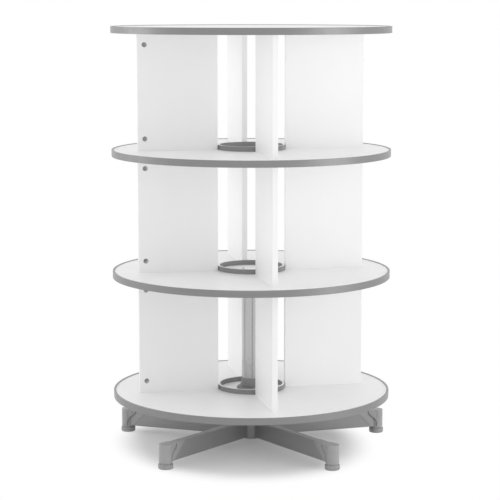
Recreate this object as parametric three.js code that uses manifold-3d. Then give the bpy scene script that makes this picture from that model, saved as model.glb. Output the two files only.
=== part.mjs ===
// Rotating media tower: four round white shelves, three levels of crossed divider panels,
// and a five-legged star base whose centre post carries the whole tower on one pivot.
// Units are millimetres and +Z is up. The origin is on the floor, on the turning axis.
// +X runs along the right-hand dividers and -Y faces the front.

import * as THREE from 'three';
import { mergeVertices } from 'three/addons/utils/BufferGeometryUtils.js';
import Module from 'manifold-3d';

const wasm = await Module();
wasm.setup();

// Shelves and dividers
const shelfRadius = 400; // to the outside of the edge band
const boardThickness = 16; // melamine-faced board of the shelves and the dividers
const edgeBandWall = 2; // the shelves' edge band is a U that grips the board's rim
const edgeLip = 1.5; // the U's two sides stand proud of the board's faces by this much
const edgeLipReach = 6; // from the outside of the band inwards
const edgeSeat = 0.3; // depth of the rebates that the U's sides lie in
const clearHeight = 333; // between the faces of two shelves, room for a lever-arch file
const shelfNames = ['bottom', 'lower', 'upper', 'top'];
const levelNames = ['bottom', 'middle', 'top'];
const sideNames = ['right', 'rear', 'left', 'front'];
const boredFaces = [1, -1, 1, 1]; // side by side, which face of a divider has the cam bores
const pivotShelf = 1; // the shelf that hangs on the post, counted from the bottom

const dividerSetback = 71; // from the shelves' rims in to the dividers' outer ends
const camBoreRadius = 7.5; // bores for the cam fittings that hold the dividers
const camBoreDepth = 13;
const camFromShelf = 34;
const camFromOuterEnd = 20.5;

// Stop rings that keep media out of the open centre
const stopRingRadius = 97;
const stopRingWall = 6.5;
const stopRingHeight = 14;
const stopRingGap = 2; // from the ring to the inner ends of the dividers

// Star base
const legCount = 5;
const firstLegAngle = THREE.MathUtils.degToRad(5.5);
const legWidth = 25;
const legHeight = 50;
const legWall = 2;
const legCornerRadius = 3;
const legInnerCornerRadius = 1;
const legStep = 1.7; // the tube's underside stands this far above the foot housing's lower edge
const mitreRun = 50; // the tube's underside is this much longer than its top
const hubWall = 10.7;
const hubRise = 10; // above the legs
const basePlateThickness = 4;
const basePlateInset = 2; // from the hub's outside

// Feet
const footSetback = 9; // from the shelves' rims in to the axis of each foot
const housingRadius = 19;
const housingSkin = 0.8; // the moulded housing stands proud of the tube by this much
const housingChamfer = 1;
const shoulderReach = 29; // from the foot's axis inwards, at the top
const shoulderStep = 0.6; // the shoulder's nose stands proud of the wedge by this much
const shoulderNoseHeight = 2;
const shoulderHeight = 40; // from the top down to where the shoulder runs into the cylinder
const shoulderRootInset = 4; // from the foot's axis to the lower end of the shoulder's edge
const shoulderBendShare = 0.5; // height of the curve's two handles, as a share of shoulderHeight
const tenonLength = 25; // inside the tube, behind the mitre
const glideRadius = 21;
const glideHeight = 17;
const glideEdge = 3;
const glideTopEdge = 1;
const glideNeckRadius = 17;
const glideNeckHeight = 3.5; // between the pad and the housing
const glideStemRadius = 5;
const glideStemLength = 35;

// Centre post, its pivot and its guide
const postRadius = 27;
const postWall = 3;
const baseGap = 75.5; // from the legs up to the bottom shelf's board
const footPlugLength = 25;
const headPlugLength = 28;
const headPlugShoulder = 5;
const pivotPinRadius = 8;
const pivotPinLength = 8.5;
const thrustRingThickness = 5;
const thrustRingInset = 3; // from the post's outside
const pivotPlateRadius = 42;
const pivotPlateThickness = 4;
const pivotScrewInset = 15; // from the plate's rim to the screws
const pivotScrewTurn = THREE.MathUtils.degToRad(45);
const guideBushWall = 1.7;
const guideBushRise = 31.5; // above the bottom shelf
const guideBushDepth = 14; // into the bottom shelf
const guideFlangeRadius = 42;
const guideFlangeThickness = 5;
const guideBossWall = 2.2;
const guideBossHeight = 9;

// Fasteners
const screwCount = 4;
const screwRadius = 2.2;
const screwHeadRadius = 3.8;
const screwHeadHeight = 2.6;
const screwHeadRimShare = 0.4; // height of the head's straight rim
const screwHeadCrownShare = 0.65; // radius where the crown turns flat
const screwSocketRadius = 1.8;
const screwSocketDepth = 1.6;
const guideScrewDepth = 14; // into the bottom shelf
const boltRadius = 6;
const boltHeadRadius = 10;
const boltHeadHeight = 6;

// Clearances
const fitGap = 0.3; // round pieces in their bores, welds, and glued bands
const overrun = 5; // how far a cutting shape runs past what it cuts

// Facets
const shelfSegments = 64;
const ringSegments = 48;
const postSegments = 32;
const footSegments = 24;
const screwSegments = 12;
const boltHeadSides = 6;
const cornerSteps = 2;
const curveSteps = 8;

// Heights and radii that follow
const housingBottomZ = glideHeight + fitGap;
const legBottomZ = housingBottomZ + legStep;
const legTopZ = legBottomZ + legHeight;
const housingTopZ = legTopZ + housingSkin;
const hubTopZ = legTopZ + hubRise;
const hubBore = postRadius + fitGap;
const hubRadius = hubBore + hubWall;
const basePlateBottomZ = legBottomZ - basePlateThickness;
const bottomShelfUnderZ = legTopZ + baseGap;
const shelfTopZ = [];
const shelfUnderZ = [];
for (let i = 0; i < shelfNames.length; i += 1) {
  shelfUnderZ.push(i === 0 ? bottomShelfUnderZ : shelfTopZ[i - 1] + clearHeight);
  shelfTopZ.push(shelfUnderZ[i] + boardThickness);
}
const pivotPlateBottomZ = shelfUnderZ[pivotShelf] - pivotPlateThickness;
const thrustRingTopZ = pivotPlateBottomZ - fitGap;
const headPlugTopZ = thrustRingTopZ - thrustRingThickness;
const postTopZ = headPlugTopZ - headPlugShoulder;
const postBore = postRadius - postWall;
const pivotBore = pivotPinRadius + fitGap;
const pivotScrewCircle = pivotPlateRadius - pivotScrewInset;
const guideBushBore = postRadius + fitGap;
const guideBushRadius = guideBushBore + guideBushWall;
const guideFlangeBore = guideBushRadius + fitGap;
const guideBossRadius = guideFlangeBore + guideBossWall;
const guideFlangeTopZ = shelfTopZ[0] + guideFlangeThickness;
const guideScrewCircle = (guideBossRadius + guideFlangeRadius) / 2;
const dividerInnerRadius = stopRingRadius + stopRingGap;
const dividerOuterRadius = shelfRadius - dividerSetback;
const footReach = shelfRadius - footSetback;
const mitreBottomX = footReach - housingRadius - fitGap;
const mitreTopX = mitreBottomX - mitreRun;

// Finishes
const finishes = {
  board: { color: 0xf1f1ef, roughness: 0.42, metalness: 0 },
  edgeBand: { color: 0x7c7d80, roughness: 0.38, metalness: 0.1 },
  stopRing: { color: 0x7b7c7f, roughness: 0.5, metalness: 0 },
  chrome: { color: 0xc8cacc, roughness: 0.16, metalness: 1 },
  steel: { color: 0xa9abad, roughness: 0.35, metalness: 1 },
  greyPaint: { color: 0x8b8d90, roughness: 0.45, metalness: 0.15 },
  greyPlastic: { color: 0x919396, roughness: 0.55, metalness: 0 },
  darkPlastic: { color: 0x55575a, roughness: 0.5, metalness: 0 },
};

// Exact turns of whole axes: what stands along Y stands along Z, and a section runs out along X.
const standUp = new THREE.Matrix4().set(1, 0, 0, 0, 0, 0, -1, 0, 0, 1, 0, 0, 0, 0, 0, 1);
const runOutwards = new THREE.Matrix4().set(0, 0, 1, 0, 1, 0, 0, 0, 0, 1, 0, 0, 0, 0, 0, 1);

// A solid of revolution about Z from [radius, height] pairs, listed from the bottom up its outside.
function turned(profile, segments) {
  const points = profile.map(([radius, height]) => new THREE.Vector2(radius, height));
  return new THREE.LatheGeometry(points, segments).applyMatrix4(standUp);
}

function rod(radius, bottomZ, topZ, segments) {
  return turned([[0, bottomZ], [radius, bottomZ], [radius, topZ], [0, topZ]], segments);
}

function tube(radius, bore, bottomZ, topZ, segments) {
  const profile = [[bore, bottomZ], [radius, bottomZ], [radius, topZ], [bore, topZ], [bore, bottomZ]];
  return turned(profile, segments);
}

// A flat shape drawn out from one height to another.
function prism(shape, low, high, curveSegments) {
  const options = { depth: 1, bevelEnabled: false, curveSegments };
  const geometry = new THREE.ExtrudeGeometry(shape, options);
  const position = geometry.getAttribute('position');
  for (let i = 0; i < position.count; i += 1) {
    position.setZ(i, position.getZ(i) > 0 ? high : low);
  }
  return geometry;
}

// A side view in X and Z drawn out across Y, halfWidth to each side.
function sideways(shape, halfWidth) {
  return prism(shape, -halfWidth, halfWidth, curveSteps).applyMatrix4(standUp);
}

function polygon(points) {
  return new THREE.Shape(points.map(([x, y]) => new THREE.Vector2(x, y)));
}

function roundedRectangle(halfWidth, bottom, top, radius) {
  const quarter = Math.PI / 2;
  const shape = new THREE.Shape();
  shape.absarc(halfWidth - radius, bottom + radius, radius, -quarter, 0, false);
  shape.absarc(halfWidth - radius, top - radius, radius, 0, quarter, false);
  shape.absarc(radius - halfWidth, top - radius, radius, quarter, 2 * quarter, false);
  shape.absarc(radius - halfWidth, bottom + radius, radius, 2 * quarter, 3 * quarter, false);
  shape.closePath();
  return shape;
}

// Joins and cuts work on closed solids whose shared vertices are merged.
function solidOf(geometry) {
  const bare = geometry.clone();
  bare.deleteAttribute('normal');
  bare.deleteAttribute('uv');
  const merged = mergeVertices(bare);
  const vertProperties = merged.getAttribute('position').array;
  const triVerts = new Uint32Array(merged.index.array);
  return new wasm.Manifold(new wasm.Mesh({ numProp: 3, vertProperties, triVerts }));
}

function geometryOf(solid) {
  const mesh = solid.getMesh();
  const geometry = new THREE.BufferGeometry();
  geometry.setAttribute('position', new THREE.BufferAttribute(mesh.vertProperties, 3));
  geometry.setIndex(new THREE.BufferAttribute(mesh.triVerts, 1));
  geometry.computeVertexNormals();
  return geometry;
}

function cut(body, ...cutters) {
  return geometryOf(cutters.reduce((solid, cutter) => solid.subtract(solidOf(cutter)), solidOf(body)));
}

function joined(first, ...others) {
  return geometryOf(others.reduce((solid, other) => solid.add(solidOf(other)), solidOf(first)));
}

function common(first, second) {
  return geometryOf(solidOf(first).intersect(solidOf(second)));
}

// The same shape on a circle about Z, once for each of the screws.
function onCircle(makeShape, radius, turn) {
  const copies = [];
  for (let i = 0; i < screwCount; i += 1) {
    const angle = turn + (2 * Math.PI * i) / screwCount;
    copies.push(makeShape().translate(radius * Math.cos(angle), radius * Math.sin(angle), 0));
  }
  return copies;
}

// A pan-head screw that stands on a face at seatZ and reaches down to tipZ.
function screw(seatZ, tipZ) {
  const headTopZ = seatZ + screwHeadHeight;
  const profile = [
    [0, tipZ],
    [screwRadius, tipZ],
    [screwRadius, seatZ],
    [screwHeadRadius, seatZ],
    [screwHeadRadius, seatZ + screwHeadHeight * screwHeadRimShare],
    [screwHeadRadius * screwHeadCrownShare, headTopZ],
    [0, headTopZ],
  ];
  const socket = rod(screwSocketRadius, headTopZ - screwSocketDepth, headTopZ + overrun, boltHeadSides);
  return cut(turned(profile, screwSegments), socket);
}

function screwHole(bottomZ, topZ) {
  return rod(screwRadius + fitGap, bottomZ, topZ, screwSegments);
}

function shelfBoard(index) {
  const underZ = shelfUnderZ[index];
  const topZ = shelfTopZ[index];
  const rimRadius = shelfRadius - edgeBandWall - fitGap;
  const faceRadius = shelfRadius - edgeLipReach - fitGap;
  const board = turned([
    [0, underZ],
    [faceRadius, underZ],
    [faceRadius, underZ + edgeSeat],
    [rimRadius, underZ + edgeSeat],
    [rimRadius, topZ - edgeSeat],
    [faceRadius, topZ - edgeSeat],
    [faceRadius, topZ],
    [0, topZ],
  ], shelfSegments);
  if (index === 0) {
    const postHole = rod(guideFlangeBore, underZ - overrun, topZ + overrun, postSegments);
    const hole = () => screwHole(topZ - guideScrewDepth - fitGap, topZ + overrun);
    return cut(board, postHole, ...onCircle(hole, guideScrewCircle, 0));
  }
  if (index === pivotShelf) {
    const hole = () => screwHole(underZ - overrun, topZ + overrun);
    return cut(board, ...onCircle(hole, pivotScrewCircle, pivotScrewTurn));
  }
  return board;
}

function edgeBand(index) {
  const underZ = shelfUnderZ[index];
  const topZ = shelfTopZ[index];
  const wallBore = shelfRadius - edgeBandWall;
  const lipBore = shelfRadius - edgeLipReach;
  return turned([
    [lipBore, underZ - edgeLip],
    [shelfRadius, underZ - edgeLip],
    [shelfRadius, topZ + edgeLip],
    [lipBore, topZ + edgeLip],
    [lipBore, topZ - edgeSeat],
    [wallBore, topZ - edgeSeat],
    [wallBore, underZ + edgeSeat],
    [lipBore, underZ + edgeSeat],
    [lipBore, underZ - edgeLip],
  ], shelfSegments);
}

// A divider that runs out along X, with its two cam bores in one face: 1 towards +Y, -1 towards -Y.
function divider(level, boredFace) {
  const half = boardThickness / 2;
  const bottomZ = shelfTopZ[level];
  const topZ = shelfUnderZ[level + 1];
  const outline = polygon([
    [dividerInnerRadius, -half],
    [dividerOuterRadius, -half],
    [dividerOuterRadius, half],
    [dividerInnerRadius, half],
  ]);
  const bore = (z) => rod(camBoreRadius, -half - overrun, camBoreDepth - half, screwSegments)
    .rotateX((boredFace * Math.PI) / 2)
    .translate(dividerOuterRadius - camFromOuterEnd, 0, z);
  return cut(prism(outline, bottomZ, topZ, 1), bore(bottomZ + camFromShelf), bore(topZ - camFromShelf));
}

function stopRing(index) {
  const bottomZ = shelfTopZ[index];
  const bore = stopRingRadius - stopRingWall;
  return tube(stopRingRadius, bore, bottomZ, bottomZ + stopRingHeight, ringSegments);
}

// Everything beyond the mitred end of a leg, seen from the side, moved outwards by gap.
function beyondMitre(gap) {
  const slope = mitreRun / legHeight;
  const outerX = footReach + gap;
  return polygon([
    [mitreBottomX + gap + overrun * slope, legBottomZ - overrun],
    [outerX + overrun * slope, legBottomZ - overrun],
    [outerX + overrun * slope, legTopZ + overrun],
    [mitreTopX + gap - overrun * slope, legTopZ + overrun],
  ]);
}

// A rectangular tube, coped round the hub and mitred at the foot.
function leg() {
  const half = legWidth / 2;
  const section = roundedRectangle(half, legBottomZ, legTopZ, legCornerRadius);
  const inside = roundedRectangle(
    half - legWall,
    legBottomZ + legWall,
    legTopZ - legWall,
    legInnerCornerRadius,
  );
  section.holes.push(inside);
  const body = prism(section, 0, mitreBottomX, cornerSteps).applyMatrix4(runOutwards);
  const cope = rod(hubRadius + fitGap, legBottomZ - overrun, legTopZ + overrun, postSegments);
  return cut(body, cope, sideways(beyondMitre(0), half + overrun));
}

// Plan of the shoulder: a little over the leg's width at its nose, running into the foot's circle.
function shoulderPlan() {
  const half = legWidth / 2 + housingSkin + shoulderStep;
  const radius = housingRadius - shoulderStep;
  const noseX = footReach - shoulderReach;
  const noseAngle = Math.atan2(half, -shoulderReach);
  const tangent = noseAngle - Math.acos(radius / Math.hypot(shoulderReach, half));
  const shape = new THREE.Shape();
  shape.moveTo(noseX, half);
  shape.lineTo(noseX, -half);
  shape.absarc(footReach, 0, radius, -tangent, tangent, false);
  shape.closePath();
  return shape;
}

// Side view of the shoulder: flat on top, with an S-curved lower edge.
function shoulderSide() {
  const noseX = footReach - shoulderReach;
  const rootX = footReach - shoulderRootInset;
  const rootZ = housingTopZ - shoulderHeight;
  const bendZ = housingTopZ - shoulderHeight * shoulderBendShare;
  const outerX = footReach + housingRadius + overrun;
  const shape = new THREE.Shape();
  shape.moveTo(noseX - overrun, housingTopZ + overrun);
  shape.lineTo(noseX - overrun, housingTopZ - shoulderNoseHeight);
  shape.lineTo(noseX, housingTopZ - shoulderNoseHeight);
  shape.bezierCurveTo(noseX, bendZ, rootX, bendZ, rootX, rootZ);
  shape.lineTo(outerX, rootZ);
  shape.lineTo(outerX, housingTopZ + overrun);
  shape.closePath();
  return shape;
}

// The moulded foot housing: a cylinder on the glide, a shoulder, a wedge that fills the tube's
// mitre, and a tenon inside the tube.
function footHousing() {
  const half = legWidth / 2;
  const cylinder = turned([
    [0, housingBottomZ],
    [housingRadius - housingChamfer, housingBottomZ],
    [housingRadius, housingBottomZ + housingChamfer],
    [housingRadius, housingTopZ],
    [0, housingTopZ],
  ], footSegments).translate(footReach, 0, 0);
  const shoulder = common(
    prism(shoulderPlan(), housingBottomZ, housingTopZ, curveSteps),
    sideways(shoulderSide(), housingRadius + overrun),
  );
  const wedgeSection = roundedRectangle(
    half + housingSkin,
    legBottomZ,
    housingTopZ,
    legCornerRadius,
  );
  const wedge = common(
    prism(wedgeSection, mitreTopX - overrun, footReach, cornerSteps).applyMatrix4(runOutwards),
    sideways(beyondMitre(fitGap), half + overrun),
  );
  const tenonInset = legWall + fitGap;
  const tenonSection = roundedRectangle(
    half - tenonInset,
    legBottomZ + tenonInset,
    legTopZ - tenonInset,
    legInnerCornerRadius,
  );
  const tenon = prism(tenonSection, mitreTopX - tenonLength, footReach, cornerSteps)
    .applyMatrix4(runOutwards);
  const stemTopZ = glideHeight + glideStemLength + fitGap;
  const bore = rod(glideStemRadius + fitGap, housingBottomZ - overrun, stemTopZ, screwSegments)
    .translate(footReach, 0, 0);
  return cut(joined(cylinder, shoulder, wedge, tenon), bore);
}

// A levelling glide: a round pad with a neck and a threaded stem.
function glide() {
  const padTopZ = glideHeight - glideNeckHeight;
  const stemTopZ = glideHeight + glideStemLength;
  return turned([
    [0, 0],
    [glideRadius - glideEdge, 0],
    [glideRadius, glideEdge],
    [glideRadius, padTopZ - glideTopEdge],
    [glideRadius - glideTopEdge, padTopZ],
    [glideNeckRadius, padTopZ],
    [glideNeckRadius, glideHeight],
    [glideStemRadius, glideHeight],
    [glideStemRadius, stemTopZ],
    [0, stemTopZ],
  ], footSegments).translate(footReach, 0, 0);
}

function basePlate() {
  const plate = rod(hubRadius - basePlateInset, basePlateBottomZ, legBottomZ, postSegments);
  const hole = rod(boltRadius + fitGap, basePlateBottomZ - overrun, legBottomZ + overrun, screwSegments);
  return cut(plate, hole);
}

// The plug in the post's lower end, tapped for the bolt that clamps the post to the base.
function postFootPlug() {
  const topZ = legBottomZ + footPlugLength;
  const bore = boltRadius + fitGap;
  return tube(postBore - fitGap, bore, legBottomZ, topZ, postSegments);
}

function baseBolt() {
  const headBottomZ = basePlateBottomZ - boltHeadHeight;
  const head = rod(boltHeadRadius, headBottomZ, basePlateBottomZ, boltHeadSides);
  const shank = rod(boltRadius, headBottomZ, legBottomZ + footPlugLength, screwSegments);
  return joined(head, shank);
}

// The plug on top of the post, with the pin that the tower turns on.
function postHeadPlug() {
  return turned([
    [0, postTopZ - headPlugLength],
    [postBore - fitGap, postTopZ - headPlugLength],
    [postBore - fitGap, postTopZ],
    [postRadius, postTopZ],
    [postRadius, headPlugTopZ],
    [pivotPinRadius, headPlugTopZ],
    [pivotPinRadius, headPlugTopZ + pivotPinLength],
    [0, headPlugTopZ + pivotPinLength],
  ], postSegments);
}

function pivotPlate() {
  const topZ = shelfUnderZ[pivotShelf];
  const plate = tube(pivotPlateRadius, pivotBore, pivotPlateBottomZ, topZ, postSegments);
  const hole = () => screwHole(pivotPlateBottomZ - overrun, topZ + overrun);
  return cut(plate, ...onCircle(hole, pivotScrewCircle, pivotScrewTurn));
}

// The stepped flange that holds the guide bush on the bottom shelf.
function guideFlange() {
  const bossTopZ = guideFlangeTopZ + guideBossHeight;
  const body = turned([
    [guideFlangeBore, shelfTopZ[0]],
    [guideFlangeRadius, shelfTopZ[0]],
    [guideFlangeRadius, guideFlangeTopZ],
    [guideBossRadius, guideFlangeTopZ],
    [guideBossRadius, bossTopZ],
    [guideFlangeBore, bossTopZ],
    [guideFlangeBore, shelfTopZ[0]],
  ], postSegments);
  const hole = () => screwHole(shelfTopZ[0] - overrun, guideFlangeTopZ + overrun);
  return cut(body, ...onCircle(hole, guideScrewCircle, 0));
}

function guideBush() {
  const bottomZ = shelfTopZ[0] - guideBushDepth;
  return tube(guideBushRadius, guideBushBore, bottomZ, shelfTopZ[0] + guideBushRise, postSegments);
}

function addPiece(group, name, geometry, finish) {
  const piece = new THREE.Mesh(geometry, new THREE.MeshStandardMaterial(finish));
  piece.name = name;
  group.add(piece);
}

// The base stands still: hub, legs, feet and post.
function makeBase() {
  const base = new THREE.Group();
  addPiece(base, 'base_hub', tube(hubRadius, hubBore, legBottomZ, hubTopZ, postSegments), finishes.greyPaint);
  addPiece(base, 'base_plate', basePlate(), finishes.greyPaint);
  addPiece(base, 'base_bolt', baseBolt(), finishes.steel);
  addPiece(base, 'centre_post', tube(postRadius, postBore, legBottomZ, postTopZ, postSegments), finishes.chrome);
  addPiece(base, 'post_foot_plug', postFootPlug(), finishes.steel);
  addPiece(base, 'post_head_plug', postHeadPlug(), finishes.steel);
  const thrustRing = tube(postRadius - thrustRingInset, pivotBore, headPlugTopZ, thrustRingTopZ, postSegments);
  addPiece(base, 'thrust_ring', thrustRing, finishes.darkPlastic);
  for (let i = 0; i < legCount; i += 1) {
    const arm = new THREE.Group();
    arm.rotation.z = firstLegAngle + (2 * Math.PI * i) / legCount;
    addPiece(arm, `leg_${i + 1}`, leg(), finishes.greyPaint);
    addPiece(arm, `foot_housing_${i + 1}`, footHousing(), finishes.greyPlastic);
    addPiece(arm, `glide_${i + 1}`, glide(), finishes.greyPlastic);
    base.add(arm);
  }
  return base;
}

// The tower turns: shelves, dividers, stop rings and what they are fastened with.
function makeTower() {
  const tower = new THREE.Group();
  shelfNames.forEach((name, i) => {
    addPiece(tower, `${name}_shelf`, shelfBoard(i), finishes.board);
    addPiece(tower, `${name}_edge_band`, edgeBand(i), finishes.edgeBand);
  });
  levelNames.forEach((name, level) => {
    addPiece(tower, `${shelfNames[level]}_stop_ring`, stopRing(level), finishes.stopRing);
    sideNames.forEach((side, i) => {
      const quarter = new THREE.Group();
      quarter.rotation.z = (2 * Math.PI * i) / sideNames.length;
      addPiece(quarter, `${name}_divider_${side}`, divider(level, boredFaces[i]), finishes.board);
      tower.add(quarter);
    });
  });
  addPiece(tower, 'pivot_plate', pivotPlate(), finishes.steel);
  addPiece(tower, 'guide_flange', guideFlange(), finishes.greyPlastic);
  addPiece(tower, 'guide_bush', guideBush(), finishes.greyPlastic);
  const pivotScrew = () => screw(shelfTopZ[pivotShelf], pivotPlateBottomZ);
  onCircle(pivotScrew, pivotScrewCircle, pivotScrewTurn).forEach((geometry, i) => {
    addPiece(tower, `pivot_screw_${i + 1}`, geometry, finishes.steel);
  });
  const guideScrew = () => screw(guideFlangeTopZ, shelfTopZ[0] - guideScrewDepth);
  onCircle(guideScrew, guideScrewCircle, 0).forEach((geometry, i) => {
    addPiece(tower, `guide_screw_${i + 1}`, geometry, finishes.steel);
  });
  return tower;
}

const mediaTower = new THREE.Group();
mediaTower.name = 'rotating_media_tower';
mediaTower.add(makeBase(), makeTower());

export default mediaTower;
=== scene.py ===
# %% [markdown]
# # A rotating media tower
# Four round white shelves and three levels of crossed dividers turn together on one bright
# post, which stands in a grey five-legged star base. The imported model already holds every
# piece at its real size, so this script never moves or resizes anything. It rebuilds the
# pieces with fine, eased surfaces and gives each its finish.

# %% Load the frame
import math

import bmesh
import bpy
from mathutils import Matrix, Vector


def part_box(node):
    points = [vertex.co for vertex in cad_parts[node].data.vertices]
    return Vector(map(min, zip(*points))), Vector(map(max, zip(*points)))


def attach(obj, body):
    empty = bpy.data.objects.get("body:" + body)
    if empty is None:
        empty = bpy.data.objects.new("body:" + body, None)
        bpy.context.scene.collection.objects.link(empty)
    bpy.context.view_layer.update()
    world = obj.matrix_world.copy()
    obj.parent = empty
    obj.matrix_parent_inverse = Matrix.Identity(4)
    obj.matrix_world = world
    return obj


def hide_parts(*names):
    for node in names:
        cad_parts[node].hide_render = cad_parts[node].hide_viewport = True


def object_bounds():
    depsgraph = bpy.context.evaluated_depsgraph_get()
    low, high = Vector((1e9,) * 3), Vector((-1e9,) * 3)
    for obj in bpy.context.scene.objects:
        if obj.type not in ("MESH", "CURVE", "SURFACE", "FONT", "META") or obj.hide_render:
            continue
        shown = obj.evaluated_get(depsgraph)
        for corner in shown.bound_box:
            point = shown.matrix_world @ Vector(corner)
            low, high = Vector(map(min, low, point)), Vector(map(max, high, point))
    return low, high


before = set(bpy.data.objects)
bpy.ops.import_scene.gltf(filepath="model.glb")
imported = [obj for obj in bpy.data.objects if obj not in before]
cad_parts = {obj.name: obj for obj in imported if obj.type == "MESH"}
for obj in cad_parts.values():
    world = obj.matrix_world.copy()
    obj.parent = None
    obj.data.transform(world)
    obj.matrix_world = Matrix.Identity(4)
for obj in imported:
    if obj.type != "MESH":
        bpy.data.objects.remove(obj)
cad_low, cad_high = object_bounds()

MM = 0.001
print("nodes", len(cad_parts), "height", round(cad_high.z, 4), "m")

# %% [markdown]
# ## Reading sizes from the frame
# A turned piece is known by its radii and its two heights. They could be typed again here,
# but then the picture would no longer follow the model when a size changes. The frame's
# meshes are faceted, and their corners lie on the true circle, so the corner that is furthest
# from the axis gives the outer radius, and the nearest one gives the bore.

# %% Sizes of the shelves
SHELVES = ("bottom", "lower", "upper", "top")
LEVELS = ("bottom", "middle", "top")
SIDES = ("right", "rear", "left", "front")
LEGS = range(1, 6)


def heights(node):
    low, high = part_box(node)
    return low.z, high.z


def radii(node):
    reach = [math.hypot(v.co.x, v.co.y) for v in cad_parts[node].data.vertices]
    return min(reach), max(reach)


def middle(node):
    return sum(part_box(node), Vector()) / 2


shelf_tops = [heights(f"{name}_shelf")[1] for name in SHELVES]
level_pitch = shelf_tops[1] - shelf_tops[0]
lip_bore, shelf_radius = radii("top_edge_band")
print("shelf radius", round(shelf_radius, 4), "tops", [round(z, 4) for z in shelf_tops])

# %% [markdown]
# The legs aren't square to the frame, so a box round one says little. A leg's direction comes
# from the place of its glide, and its sizes from the box that it has once it is turned back
# onto the X axis.

# %% Directions of the legs
foot_axes = [middle(f"glide_{i}") for i in LEGS]
leg_angles = [math.atan2(axis.y, axis.x) for axis in foot_axes]
foot_reach = math.hypot(foot_axes[0].x, foot_axes[0].y)


def box_turned_back(node, angle):
    back = Matrix.Rotation(-angle, 3, "Z")
    points = [back @ v.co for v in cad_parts[node].data.vertices]
    low = Vector([min(p[k] for p in points) for k in range(3)])
    high = Vector([max(p[k] for p in points) for k in range(3)])
    return low, high


leg_low, leg_high = box_turned_back("leg_1", leg_angles[0])
housing_low, housing_high = box_turned_back("foot_housing_1", leg_angles[0])
print("legs at", [round(math.degrees(a), 1) for a in leg_angles], "reach", round(foot_reach, 4))

# %% [markdown]
# ## Camera
# The rims of the four shelves give the camera: how far each ellipse opens says how high and
# how far away it stands. It looks a little down, from left of the front dividers. A level
# camera with a shifted picture would keep the uprights parallel, but the shift would push
# the tower out of the views from other sides, so the camera is tilted instead.

# %% Camera at the photograph's viewpoint
IMAGE_SIDE = 500  # pixels
FOCAL_LENGTH = 1765.7  # pixels
PRINCIPAL_COLUMN = 251.26  # pixels
CAMERA_DISTANCE = 5.0593  # from the tower's axis, measured level
CAMERA_HEIGHT = 1.2695
CAMERA_AZIMUTH = math.radians(-11.342)
CAMERA_TILT = math.radians(7.917)  # below the horizon

camera_data = bpy.data.cameras.new("photo_camera")
camera_data.lens = FOCAL_LENGTH / IMAGE_SIDE * camera_data.sensor_width
camera_data.shift_x = (IMAGE_SIDE / 2 - PRINCIPAL_COLUMN) / IMAGE_SIDE
camera = bpy.data.objects.new("photo_camera", camera_data)
camera.location = (
    math.sin(CAMERA_AZIMUTH) * CAMERA_DISTANCE,
    -math.cos(CAMERA_AZIMUTH) * CAMERA_DISTANCE,
    CAMERA_HEIGHT,
)
camera.rotation_euler = (math.pi / 2 - CAMERA_TILT, 0, CAMERA_AZIMUTH)
bpy.context.scene.collection.objects.link(camera)
bpy.context.scene.camera = camera
print("lens", round(camera_data.lens, 1), "mm")

# %% [markdown]
# ## Helpers for node trees
# Materials and Geometry Nodes are both trees of nodes joined by links. They could be drawn in
# the node editor and saved, but a script can be read and changed line by line. One helper
# places a node and fills its sockets, with a number where the value is fixed and with a link
# where it comes from another node. It gives back one output for the next node to use.

# %% Place a node
FLOAT = "NodeSocketFloat"
COUNT = "NodeSocketInt"
VECTOR = "NodeSocketVector"
OBJECT = "NodeSocketObject"
MATERIAL = "NodeSocketMaterial"
GEOMETRY = "NodeSocketGeometry"


def socket_of(sockets, key):
    return next((s for s in sockets if s.identifier == key), None) or sockets[key]


def place(tree, kind, inputs=None, out=0, **settings):
    """Places a node and gives back its output out, which is the first one if none is named."""
    node = tree.nodes.new(kind)
    for name, value in settings.items():
        setattr(node, name, value)
    for key, value in (inputs or {}).items():
        socket = socket_of(node.inputs, key)
        sources = value if isinstance(value, list) else [value]
        if isinstance(sources[0], bpy.types.NodeSocket):
            for source in sources:
                tree.links.new(source, socket)
        else:
            socket.default_value = value
    return socket_of(node.outputs, out) if len(node.outputs) else None


# %% [markdown]
# Sums are so frequent that they have a short helper of their own. A group is a tree with
# named inputs and outputs, like a function, and a material is a tree that starts out empty.

# %% Sums, groups and materials
def maths(tree, operation, first, second=0.0):
    return place(tree, "ShaderNodeMath", {"Value": first, "Value_001": second}, operation=operation)


def new_group(kind, name, inputs, outputs):
    tree = bpy.data.node_groups.new(name, kind)
    for in_out, sockets in (("INPUT", inputs), ("OUTPUT", outputs)):
        for label, socket_type in sockets.items():
            tree.interface.new_socket(name=label, in_out=in_out, socket_type=socket_type)
    print("tree", name)
    return tree, tree.nodes.new("NodeGroupInput").outputs


def empty_material(name):
    material = bpy.data.materials.new(name)
    material.use_nodes = True
    material.node_tree.nodes.clear()
    return material, material.node_tree


# %% [markdown]
# ## Studio
# The photograph is a white cut-out with a soft shadow under the base. A white picture could
# come from strong lamps, but they would bleach the white boards. So the world is plain white
# only to look at, and lights the tower by a level of its own, which is stronger near the
# horizon than overhead, and that is what brightens the compartments.

# %% Tell looking from lighting
def seen_directly(tree):
    """1 for what the camera sees, also in a mirror or through glass, and 0 for what lights."""
    camera_ray, glossy_ray, glass_ray = [
        place(tree, "ShaderNodeLightPath", out=f"Is {kind} Ray")
        for kind in ("Camera", "Glossy", "Transmission")
    ]
    return maths(tree, "MAXIMUM", camera_ray, maths(tree, "MAXIMUM", glossy_ray, glass_ray))


def mixed_shader(tree, share, first, second):
    inputs = {"Fac": share, "Shader": first, "Shader_001": second}
    return place(tree, "ShaderNodeMixShader", inputs)


# %% [markdown]
# The world is a sphere of light round everything. Its level falls from the horizon to the
# zenith, and one side is a little darker, as a studio with its lamps on the other side is.
# An image of a studio could light it too, but a ramp and a product of two directions do the
# same with a few numbers.

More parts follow.
